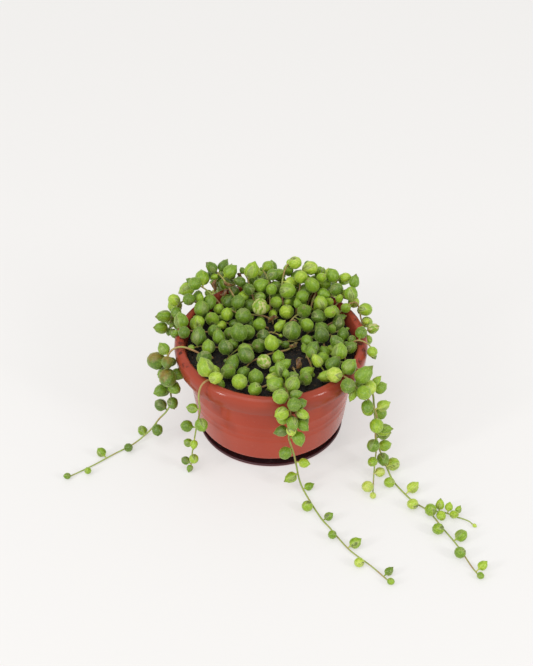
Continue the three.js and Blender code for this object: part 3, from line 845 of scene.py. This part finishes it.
def new_group(name, result):
    """A node group on a vector, with a scale and an amount, that puts out one value."""
    tree = bpy.data.node_groups.new(name, "ShaderNodeTree")
    for socket, kind in (("Vector", "Vector"), ("Scale", "Float"), ("Amount", "Float")):
        tree.interface.new_socket(socket, in_out="INPUT", socket_type="NodeSocket" + kind)
    tree.interface.new_socket(result, in_out="OUTPUT", socket_type="NodeSocketFloat")
    into = tree.nodes.new("NodeGroupInput").outputs
    return tree, into, tree.nodes.new("NodeGroupOutput")


def make_speck_group():
    """Fine specks: 1 on a speck and 0 between. The amount is the share of the surface that they cover."""
    tree, into, out = new_group("fine_specks", "Mask")
    level = noise(into["Vector"], into["Scale"], detail=1.0)
    start = minus(0.72, times(into["Amount"], 0.3))
    feed(out, Mask=ramp(level, start, plus(start, 0.07)))
    return tree


def make_mottle_group():
    """Slow, soft change over a surface, about 0 and as strong as its amount."""
    tree, into, out = new_group("soft_mottle", "Change")
    level = noise(into["Vector"], into["Scale"], detail=3.0)
    feed(out, Change=times(minus(level, 0.5), into["Amount"]))
    return tree


def use_group(group, coords, scale, amount):
    settings = {"node_tree": group}
    node = add_node("ShaderNodeGroup", settings, Vector=coords, Scale=scale, Amount=amount)
    return node.outputs[0]


# Leaf colours from the darkest leaf to the palest, each at its level
LEAF_COLOURS = (
    (0.0, colour(54, 76, 12)),
    (0.35, colour(81, 112, 18)),
    (0.65, colour(115, 149, 25)),
    (0.85, colour(150, 178, 38)),
    (1.0, colour(188, 202, 86)),
)
CREAM = colour(204, 204, 140)
SPECK = colour(192, 202, 112)
BLUSH = colour(196, 160, 128)
RUST = colour(142, 92, 34)
WINDOW_GREEN = colour(50, 66, 26)
TIP_BROWN = colour(110, 84, 48)
STALK_TAN = colour(172, 148, 88)
HUSK_BROWN = colour(76, 46, 26)
HUSK_PALE = colour(138, 96, 56)

# How many streaks there are across a leaf: its fine veins, and the streaks of cream
VEINS_ACROSS = 4.5
STREAKS_ACROSS = 2.6
# The window: half its width, and how far its pale edge and its dark pane cover the skin
WINDOW_HALF_WIDTH = 0.42
WINDOW_EDGE = 0.3
WINDOW_PANE = 0.78


def lengthwise_noise(place, slow, across):
    """Noise in streaks from a leaf's stalk to its tip, other streaks on each leaf."""
    narrow = stretched(place, (across, across, 0.5))
    return noise(vector_maths("ADD", _0=slow, _1=narrow), 1.0)


def leaf_green(level):
    """The leaf colour at a level."""
    shades = add_node("ShaderNodeValToRGB", Fac=level)
    stops = shades.color_ramp.elements
    stops[0].position, stops[0].color = LEAF_COLOURS[0]
    stops[1].position, stops[1].color = LEAF_COLOURS[-1]
    for position, shade in LEAF_COLOURS[1:-1]:
        stops.new(position).color = shade
    return shades.outputs["Color"]


def with_window(skin, place, veins, strength):
    """Skin with its window from stalk to tip: a pale edge, and a dark translucent pane in streaks."""
    x, y, z = split(place)
    half_width = times(minus(1.0, times(z, z)), WINDOW_HALF_WIDTH)
    inside = minus(half_width, maths("ABSOLUTE", x))
    facing = times(ramp(y, 0.0, 0.15), strength)
    edge = times(ramp(inside, -0.12, 0.0), facing)
    skin = mix_colour(times(edge, WINDOW_EDGE), skin, CREAM)
    pane = times(ramp(inside, 0.0, 0.07), ramp(veins, 0.44, 0.54))
    return mix_colour(times(times(pane, facing), WINDOW_PANE), skin, WINDOW_GREEN)


def with_cream_or_rust(skin, place, streaks, patches, cream):
    """Skin with streaks of cream that blush at the tip, or with a rusty upper side where cream is below 0."""
    _, y, z = split(place)
    blush = mix_colour(ramp(z, 0.2, 1.2, 0.0, 0.5), CREAM, BLUSH)
    streaked = ramp(plus(streaks, times(cream, 0.12)), 0.53, 0.6)
    streaked = times(streaked, ramp(cream, 0.05, 0.6, 0.0, 0.75))
    skin = mix_colour(streaked, skin, blush)
    upper_side = ramp(plus(y, times(patches, 1.4)), 0.9, 1.7, 0.0, 0.6)
    return mix_colour(times(ramp(cream, -0.1, -0.9), upper_side), skin, RUST)


def make_leaf_skin(specks, mottle):
    """Waxy leaf skin with fine pale specks, a window and a dry point, or the husk of a dried leaf."""
    material, shader = new_material("pearl_leaf_skin")
    coords = object_coords(shader)
    place = attribute(shader, "leaf_place")
    z = split(place)["Z"]
    light, cream, window = split(attribute(shader, "leaf_tone"))
    slow = vector_maths("SCALE", _0=coords, Scale=70.0)
    veins = lengthwise_noise(place, slow, VEINS_ACROSS)
    streaks = lengthwise_noise(place, slow, STREAKS_ACROSS)
    patches = noise(coords, 420.0)

    level = plus(light, use_group(mottle, coords, 330.0, 0.22))
    level = plus(level, ramp(veins, 0.3, 0.7, -0.08, 0.08))
    level = plus(level, ramp(z, -0.2, -1.1, 0.0, 0.16))
    skin = leaf_green(level)
    skin = with_cream_or_rust(skin, place, streaks, patches, cream)
    skin = with_window(skin, place, veins, window)

    dots = use_group(specks, coords, 1800.0, 0.45)
    skin = mix_colour(times(dots, 0.3), skin, SPECK)
    skin = mix_colour(ramp(z, 1.25, 1.75, 0.0, 0.6), skin, TIP_BROWN)
    skin = mix_colour(ramp(z, -1.15, -1.6, 0.0, 0.65), skin, STALK_TAN)
    husk = mix_colour(ramp(patches, 0.35, 0.65), HUSK_BROWN, HUSK_PALE)
    skin = mix_colour(ramp(cream, 1.2, 1.6), skin, husk)
    feed(shader, Base_Color=skin, Roughness=plus(0.4, times(dots, 0.2)))
    feed(shader, Normal=bump(dots, 0.12, 0.0001))
    feed(shader, Subsurface_Weight=0.2, Subsurface_Radius=(0.6, 1.0, 0.3), Subsurface_Scale=0.002)
    feed(shader, Sheen_Weight=0.4, Sheen_Roughness=0.4, Sheen_Tint=(0.82, 1, 0.35, 1))
    return material


def make_stem_skin(mottle):
    """Thin stems: olive to tan out on the trailing strands, and browner over the soil."""
    material, shader = new_material("stem_skin")
    coords = object_coords(shader)
    over_soil = ramp(split(coords)["Z"], 0.045, 0.06, 0.0, 0.25)
    old = plus(use_group(mottle, coords, 120.0, 1.6), over_soil)
    skin = mix_colour(ramp(old, -0.1, 0.4), colour(144, 160, 74), colour(162, 122, 80))
    fine = use_group(mottle, coords, 900.0, 1.0)
    skin = mix_colour(ramp(fine, 0.05, 0.3), skin, colour(178, 180, 112))
    feed(shader, Base_Color=skin, Roughness=0.5, Normal=bump(fine, 0.3, 0.0002))
    return material


def rim_dirt(coords):
    """Soil smudged over the rim, most at its inner edge and at the left and right: 1 where it lies."""
    x, _, z = split(coords)
    on_rim = ramp(z, (RIM_TOP - 3) * MM, (RIM_TOP - 0.5) * MM)
    inner = ramp(axis_distance(coords), (MOUTH_RADIUS + 1.9) * MM, MOUTH_RADIUS * MM)
    inner = maths("MAXIMUM", inner, ramp(maths("ABSOLUTE", x), 0.040, 0.050))
    dirt = noise(coords, 260.0, detail=5.0, roughness=0.65)
    dirt = ramp(plus(dirt, times(inner, 0.06)), 0.56, 0.66)
    return times(times(dirt, on_rim), inner)


def make_pot_plastic(specks, mottle):
    """Glossy moulded plastic with fine flow marks, a collar darkened with painted shade, dust, and soil
    smudged on the rim.
    """
    material, shader = new_material("terracotta_red_plastic")
    coords = object_coords(shader)
    change = use_group(mottle, coords, 28.0, 0.5)
    patchy = ramp(change, -0.15, 0.15)
    plastic = mix_colour(patchy, colour(165, 64, 44), colour(176, 73, 51))
    lines = noise(stretched(coords, (30.0, 30.0, 420.0)), 1.0)
    plastic = mix_colour(ramp(lines, 0.55, 0.75, 0.0, 0.08), plastic, colour(132, 52, 38))
    dust = use_group(specks, coords, 700.0, 0.15)
    plastic = mix_colour(times(dust, 0.03), plastic, colour(226, 196, 180))
    # Painted shade: the collar is darkened to even out the extra light that falls on it from above.
    start, end = (COLLAR_BOTTOM - 1.3) * MM, (COLLAR_BOTTOM + 0.7) * MM
    collar = ramp(split(coords)["Z"], start, end, 0.0, 0.5)
    plastic = mix_colour(collar, plastic, colour(132, 62, 48))
    smudge = rim_dirt(coords)
    plastic = mix_colour(times(smudge, 0.8), plastic, colour(52, 32, 27))
    rough = plus(plus(0.12, times(smudge, 0.6)), times(lines, 0.1))
    feed(shader, Base_Color=plastic, Roughness=rough, Specular_IOR_Level=0.2)
    feed(shader, Normal=bump(lines, 0.02, 0.0004))
    return material


def make_saucer_plastic(specks):
    """Plastic painted near black inside as the shade under the pot, maroon on the wall outside, and painted
    light bounced from the floor at its foot.
    """
    material, shader = new_material("saucer_plastic_with_painted_shade")
    coords = object_coords(shader)
    start, end = (SAUCER_RADIUS - 1.4) * MM, (SAUCER_RADIUS - 1) * MM
    outside = ramp(axis_distance(coords), start, end)
    # Painted shade: inside its rim the saucer is near black, as the shade in the recess under the pot.
    plastic = mix_colour(outside, colour(32, 25, 31), colour(62, 26, 33))
    # Painted light: the foot of the outer wall is a lighter red, as if lit by light bounced from the floor.
    foot = times(outside, ramp(split(coords)["Z"], 0.0014, 0.0008))
    plastic = mix_colour(foot, plastic, colour(150, 48, 46))
    dust = use_group(specks, coords, 500.0, 0.3)
    plastic = mix_colour(times(dust, 0.1), plastic, colour(120, 84, 76))
    feed(shader, Base_Color=plastic, Roughness=plus(0.35, times(dust, 0.3)))
    return material


def make_soil_mix(specks, mottle):
    """Moist potting mix: near black, with brown fibres and pale grains."""
    material, shader = new_material("potting_mix")
    coords = object_coords(shader)
    change = use_group(mottle, coords, 500.0, 2.0)
    earth = mix_colour(ramp(change, -0.1, 0.8), colour(17, 15, 15), colour(62, 44, 34))
    bits = use_group(specks, coords, 1100.0, 0.3)
    earth = mix_colour(times(bits, 0.6), earth, colour(128, 96, 66))
    feed(shader, Base_Color=earth, Roughness=ramp(change, -0.3, 0.3, 0.6, 0.95))
    feed(shader, Normal=bump(change, 0.8, 0.0006))
    return material


def smooth_faces(piece):
    select_only(piece)
    bpy.ops.object.shade_smooth_by_angle(angle=math.radians(40))


def round_edges(piece, width):
    """Rounds the edges of a moulding and smooths its faces."""
    apply_modifier(
        piece, "BEVEL", width=width * MM, segments=2, limit_method="ANGLE", angle_limit=math.radians(28))
    smooth_faces(piece)


# The rim's rounding as (inward from its widest, below its top), and the wall's faint moulded rings,
# each with the heights where it starts, stands out most and ends
ROUND_RIM = ((0, 5), (0.12, 3.6), (0.5, 2.3), (1.15, 1.2), (2.1, 0.4), (3.3, 0))
WALL_RINGS = ((21.7, 22, 22.4), (26.2, 26.5, 26.9), (33.6, 33.9, 34.2))
WALL_RING_RISE = 0.05


def make_pot(material):
    """The pot: wall with faint moulded rings, collar, mouth, floor and drain holes."""
    floor = [(1, FLOOR_UNDERSIDE), (FOOT_RING_RADIUS - 3, FLOOR_UNDERSIDE)]
    wall = [POT_OUTSIDE[4]]
    for start, top, end in WALL_RINGS:
        wall += [(wall_radius(start), start), (wall_radius(top) + WALL_RING_RISE, top)]
        wall.append((wall_radius(end), end))
    rim = [(RIM_RADIUS - inward, RIM_TOP - below) for inward, below in ROUND_RIM]
    outline = floor + POT_OUTSIDE[:4] + wall + POT_OUTSIDE[5:-4] + rim + POT_INSIDE + [(1, FLOOR_TOP)]
    pot = round_piece("glossy_pot", outline)
    for i in range(DRAIN_HOLE_COUNT):
        angle = (i + 0.5) * 2 * math.pi / DRAIN_HOLE_COUNT
        x, y = DRAIN_CIRCLE_RADIUS * math.cos(angle), DRAIN_CIRCLE_RADIUS * math.sin(angle)
        deselect_all()
        bpy.ops.mesh.primitive_cylinder_add(
            vertices=24, radius=DRAIN_HOLE_RADIUS * MM, depth=6 * MM, location=(x * MM, y * MM, 6 * MM))
        cutter = bpy.context.object
        apply_modifier(pot, "BOOLEAN", operation="DIFFERENCE", object=cutter)
        bpy.data.objects.remove(cutter)
    round_edges(pot, 0.35)
    set_material(pot, material)
    finish_piece(pot, "pot")


def make_saucer(material):
    outline = [
        (1, 0),
        (SAUCER_RADIUS - 1.2, 0),
        (SAUCER_RADIUS, 0.9),
        (SAUCER_RADIUS - 0.2, SAUCER_RIM_HEIGHT),
        (SAUCER_RADIUS - 1.2, SAUCER_RIM_HEIGHT),
        (SAUCER_RADIUS - 1.8, SAUCER_THICKNESS),
        (1, SAUCER_THICKNESS),
    ]
    # The saucer's near-black inside is painted shade, set in its material.
    saucer = round_piece("saucer_with_painted_shade", outline)
    round_edges(saucer, 0.3)
    set_material(saucer, material)
    finish_piece(saucer, "saucer")


# The soil's top: its fine rings, and its lumps as (size, height)
SOIL_RINGS = 42
SOIL_LUMPS = ((7, 1.6), (1.8, 1.3))


def make_soil(material):
    """The soil's body, with its top drawn in fine rings and broken up into lumps."""
    outline = [(1, SOIL_BOTTOM), (soil_radius(SOIL_BOTTOM), SOIL_BOTTOM)]
    outline.append((soil_radius(COLLAR_BOTTOM), COLLAR_BOTTOM))
    edge = soil_radius(SOIL_EDGE_Z) + 0.1
    outline.append((edge, soil_height(edge) - 0.4))
    for i in range(1, SOIL_RINGS):
        radius = edge * (1 - i / SOIL_RINGS)
        outline.append((radius, soil_height(radius)))
    soil = round_piece("crumbly_soil", outline)
    top = soil.vertex_groups.new(name="top")
    is_top = [v.index for v in soil.data.vertices if v.co.z > (SOIL_EDGE_Z - 0.2) * MM]
    top.add(is_top, 1.0, "REPLACE")
    for size, height in SOIL_LUMPS:
        clouds = bpy.data.textures.new("clouds", "CLOUDS")
        clouds.noise_scale = size * MM
        clouds.noise_depth = 2
        apply_modifier(
            soil, "DISPLACE", texture=clouds, strength=height * MM, mid_level=0.5,
            texture_coords="LOCAL", vertex_group="top")
    smooth_faces(soil)
    set_material(soil, material)
    finish_piece(soil, "soil")


CRUMB_COUNT = 520
CRUMB_SEED = 501


def make_crumbs(material):
    """Crumbs of soil and bark over the top of the soil, by a rule with seeded draws."""
    deselect_all()
    bpy.ops.mesh.primitive_ico_sphere_add(subdivisions=1, radius=1)
    model = bpy.context.object
    edit_part(model, lambda place: place.z > 0.3)
    widen_selected(0.7)
    edit_part(model, lambda place: place.x > 0.3)
    move_selected(0.35, 0.1, 0)
    close_edit()
    random = seeded_random(CRUMB_SEED)
    copies = []
    for _ in range(CRUMB_COUNT):
        radius = (soil_radius(SOIL_EDGE_Z) - 1) * math.sqrt(random())
        angle = 2 * math.pi * random()
        size = 0.35 + 0.85 * random() ** 2
        x, y = radius * math.cos(angle), radius * math.sin(angle)
        z = soil_height(radius) + 0.2 + 0.3 * random()
        turn = Matrix.Rotation(6.28 * random(), 4, "Z") @ Matrix.Rotation(3.14 * random(), 4, "X")
        length, height = size * (0.8 + 0.9 * random()), size * (0.5 + 0.4 * random())
        shape = Matrix.Diagonal((length, size, height, 1))
        copy = model.copy()
        copy.data = model.data.copy()
        copy.data.transform(Matrix.Scale(MM, 4) @ Matrix.Translation((x, y, z)) @ turn @ shape)
        bpy.context.collection.objects.link(copy)
        copies.append(copy)
    bpy.data.objects.remove(model)
    crumbs = join_pieces("soil_crumbs", *copies)
    set_material(crumbs, material)
    finish_piece(crumbs)


# How light each strand's leaves are, how far along it the finer extra leaves go, and their spacing
WHOLE = 1000
STRAND_LOOKS = {
    "trail_front": (0.58, 58, 2.2), "trail_left": (0.48, 58, 5), "trail_front_left": (0.58, 28, 5),
    "trail_right": (0.65, 50, 5), "trail_right_short": (0.62, 40, 5), "hang_left": (0.52, WHOLE, 12),
    "over_right": (0.7, WHOLE, 14), "over_right_low": (0.5, WHOLE, 30),
    "back_left_outer": (0.46, WHOLE, 3.2), "back_left": (0.46, WHOLE, 2.6),
    "back_mid_left": (0.5, WHOLE, 2.6), "back_high": (0.68, WHOLE, 2.6),
    "back_mid_right": (0.64, WHOLE, 2.6), "back_right": (0.68, WHOLE, 2.6),
    "left": (0.5, WHOLE, 11), "left_upper": (0.52, WHOLE, 11), "left_lower": (0.47, WHOLE, 11),
}
HEAP_LOOK = (0.58, WHOLE, 2.6)
FLAT_LOOK = (0.47, WHOLE, 7.5)
# How light the leaves of each strand's side shoot are
SHOOT_LIGHT = {"trail_front": 0.58, "trail_right": 0.88}

# The rounds of extra leaves: their size, the longest stalk added, and how much sparser they are
EXTRA_ROUNDS = ((1.08, 0.5, 1), (1.0, 4, 1.3), (0.75, 2, 1.8))
EXTRA_GAP = 0
EXTRA_POINT = 0.25
CROWDED_EXTRA = 0.8
# Beyond this distance from the pot's axis no stalk is longer, and above this height is no extra leaf
MOUND_REACH = 44
MOUND_TOP = 78

# The young leaf at a stem's end, on the long strands and on the others
TIP_LEAF = 1.9
TIP_BUD = 1.1
TIP_STALK = 0.3
TIP_POINT = 1.6
# How much lighter a leaf is at the end of a strand of this length
TIP_LIGHT = 0.08
LONG_STRAND = 130

# Special leaves by their number from the root, and their tone: lightness, cream, window
SPECIAL_LEAVES = (
    # Dried up on their stems
    ((0.4, 2.0, 0.0), {
        "back_left": (3, 6), "back_left_outer": (1,), "back_mid_left": (4,), "middle_left": (0,),
        "middle_right": (0,), "middle_front": (0,), "front_right": (0,),
    }),
    # With a rust-coloured blush
    ((0.34, -1.0, 0.0), {"trail_left": (1, 2, 14)}),
    # Streaked with cream
    ((0.68, 0.6, 0.0), {
        "middle_left": (1,), "middle_front": (2,), "over_right": (5,), "right_lower": (3,),
    }),
    # Young and pale
    ((0.95, 0.3, 0.3), {"trail_right_short": (12, 13, 19)}),
)

STEM_STRIDE = 1.8
STEM_WIDTH = 0.6
SHOOT_WIDTH = 0.45
# The seeds of the extra leaves' rounds and of the tones come after the CAD part's own
EXTRA_SEED = 201
SEEDS_A_ROUND = 100
TONE_SEED = 801


def strand_look(row):
    if row["name"] in STRAND_LOOKS:
        return STRAND_LOOKS[row["name"]]
    return HEAP_LOOK if "back" in row["name"] or "over" in row["name"] else FLAT_LOOK


def grow_extra_leaves(row, index, samples, room, number):
    """A round of leaves in the room that is left between the CAD part's leaves."""
    random = seeded_random(index + EXTRA_SEED + SEEDS_A_ROUND * number)
    size, longer, sparser = EXTRA_ROUNDS[number]
    _, reach, spacing = strand_look(row)
    side = -1 if index % 2 else 1
    distance = ROOT_DEPTH + 2 if row["root"] else 5.0
    leaves = []
    while distance < min(samples[1][-1], reach):
        wish = leaf_wish(row, samples, distance, side, random)
        wish["radius"] *= size * (CROWDED_EXTRA if is_within(row["crowded"], distance) else 1)
        is_inside = math.hypot(wish["base"][0], wish["base"][1]) < MOUND_REACH
        wish["stalk"] += (longer if is_inside else 0) * random()
        wish["point"] += EXTRA_POINT
        leaves += room.settle(row, index, wish, EXTRA_GAP, MOUND_TOP)
        side = -side
        distance += spacing * sparser * (0.8 + 0.4 * random())
    return leaves


def tip_leaf(row, samples):
    """The young leaf that ends a stem, raised from the surface where the strand lies on it."""
    places, distances = samples
    tangent = unit(places[-1] - places[-2])
    radius = TIP_LEAF if row["root"] and row["name"] in STRAND_LOOKS else TIP_BUD
    reach = radius * TIP_POINT
    base = places[-1] - tangent * 0.8
    body_rise = (radius + FLOOR_GAP - base[2]) / (radius + TIP_STALK)
    tip_rise = (FLOOR_GAP - base[2]) / (radius + TIP_STALK + reach)
    rise = max(tangent[2], body_rise, tip_rise)
    ahead = unit(tangent[:2]) * math.sqrt(1 - rise * rise)
    return {
        "base": base, "direction": np.array([*ahead, rise]), "radius": radius, "stalk": TIP_STALK,
        "reach": reach, "along": distances[-1],
    }


def grow_plant():
    """Every strand's stem and leaves: first the CAD part's leaves, then the smaller ones between."""
    grown = []
    for row in STRANDS + SHOOTS:
        points = strand_points(row)
        grown.append({"row": row, "points": points, "samples": stem_samples(points), "leaves": []})
    room = Room(grown)
    for index, entry in enumerate(grown[:len(STRANDS)]):
        entry["leaves"] = grow_leaves(entry["row"], index, entry["samples"], room)
    for number in range(len(EXTRA_ROUNDS)):
        for index, entry in enumerate(grown):
            extra = grow_extra_leaves(entry["row"], index, entry["samples"], room, number)
            entry["leaves"] += extra
    for entry in grown:
        entry["leaves"].append(tip_leaf(entry["row"], entry["samples"]))
    return grown


def drawn_tone(random, light, along):
    """A leaf's lightness, its share of cream, here none, and how strong its window shows."""
    share = min(along / LONG_STRAND, 1)
    level = light + 0.36 * (random() + random() - 1) + TIP_LIGHT * share ** 2
    if random() < 0.14:
        level += 0.2
    window = 0.5 + 0.5 * random() if random() < 0.42 + 0.38 * share else 0.0
    return (min(max(level, 0.12), 0.92), 0.0, window)


def leaf_tone(row, number, drawn):
    """The tone of a leaf: as drawn, unless it is a special one."""
    for tone, leaves in SPECIAL_LEAVES:
        if row["root"] and number in leaves.get(row["name"], ()):
            return tone
    return drawn


def make_strands(skin, stem_skin):
    """A piece for each strand, with its side shoot: the stem with all its leaves."""
    models = {name: model_leaf(name, *shape, skin) for name, shape in TIP_SHAPES.items()}
    parts = {row["name"]: [] for row in STRANDS}
    for index, entry in enumerate(grow_plant()):
        row = entry["row"]
        random = seeded_random(index + TONE_SEED)
        light = strand_look(row)[0] if row["root"] else SHOOT_LIGHT[row["name"]]
        _, lengths = curve_lengths(entry["points"])
        count = max(8, round(lengths[-1] / STEM_STRIDE))
        run = [curve_point(entry["points"], i / count) for i in range(count + 1)]
        pieces = [stem_piece("stem", run, STEM_WIDTH if row["root"] else SHOOT_WIDTH, stem_skin)]
        for number, leaf in enumerate(entry["leaves"]):
            roll = 1.7 * (random() - 0.5)
            tone = leaf_tone(row, number, drawn_tone(random, light, leaf["along"]))
            pieces.append(place_leaf(models, leaf, roll, tone))
        parts[row["name"]] += pieces
    for name, pieces in parts.items():
        finish_piece(join_pieces("pearls_" + name, *pieces), "strand_" + name)
    for model in models.values():
        bpy.data.objects.remove(model)


def make_stage():
    bpy.ops.mesh.primitive_plane_add(size=30, location=(0, 0, -0.0002))
    floor = bpy.context.object
    floor.name = "pale_floor"
    material, shader = new_material("pale_floor")
    feed(
        shader, Base_Color=(0.36, 0.355, 0.35, 1), Emission_Color=(1, 0.985, 0.965, 1),
        Emission_Strength=0.47, Roughness=0.9)
    set_material(floor, material)


def add_light(name, kind, power):
    light = bpy.data.lights.new(name, kind)
    light.energy = power
    lamp = bpy.data.objects.new(name, light)
    bpy.context.collection.objects.link(lamp)
    return lamp


def add_softbox(name, side, width):
    """A tall soft light at the front, on the left (-1) or the right (1), which faces the pot."""
    lamp = add_light(name, "AREA", 2.6)
    lamp.data.shape = "RECTANGLE"
    lamp.data.size, lamp.data.size_y = width, 0.3
    lamp.location = (0.75 * side, -0.52, 0.5)
    towards = Vector((0, 0, 0.05)) - lamp.location
    lamp.rotation_euler = towards.to_track_quat("-Z", "Y").to_euler()


# How strongly the room lights the scene, and how bright it shows past the floor's far edge
ROOM_LIGHT = 0.7
ROOM_SEEN = 0.87


def make_light():
    world = bpy.data.worlds.new("soft_room")
    world.use_nodes = True
    nodes = world.node_tree.nodes
    is_seen = nodes.new("ShaderNodeLightPath").outputs["Is Camera Ray"]
    strength = ramp(is_seen, 0.0, 1.0, ROOM_LIGHT, ROOM_SEEN)
    feed(nodes["Background"], Color=(1, 0.99, 0.98, 1), Strength=strength)
    bpy.context.scene.world = world
    window = add_light("high_window", "SUN", 1.1)
    window.data.angle = math.radians(50)
    window.rotation_euler = (math.radians(22), math.radians(-14), 0)
    add_softbox("left_softbox", -1, 0.1)
    add_softbox("right_softbox", 1, 0.14)


# The photo's camera: its height above the floor in degrees, distance, lens and the point it looks at
CAMERA_TILT = 39.08
CAMERA_DISTANCE = 0.65
CAMERA_LENS = 62.15
CAMERA_TARGET = (-0.00255, 0, 0.06428)


def make_camera():
    camera = bpy.data.cameras.new("camera")
    camera.lens = CAMERA_LENS
    camera.sensor_width = 36
    camera.clip_start = 0.05
    tilt = math.radians(CAMERA_TILT)
    holder = bpy.data.objects.new("camera", camera)
    back = Vector((0, -math.cos(tilt), math.sin(tilt)))
    holder.location = Vector(CAMERA_TARGET) + back * CAMERA_DISTANCE
    holder.rotation_euler = (math.pi / 2 - tilt, 0, 0)
    bpy.context.collection.objects.link(holder)
    bpy.context.scene.camera = holder
    bpy.context.scene.view_settings.view_transform = "Standard"


specks = make_speck_group()
mottle = make_mottle_group()
make_pot(make_pot_plastic(specks, mottle))
make_saucer(make_saucer_plastic(specks))
soil_mix = make_soil_mix(specks, mottle)
make_soil(soil_mix)
make_crumbs(soil_mix)
make_strands(make_leaf_skin(specks, mottle), make_stem_skin(mottle))
make_stage()
make_light()
make_camera()
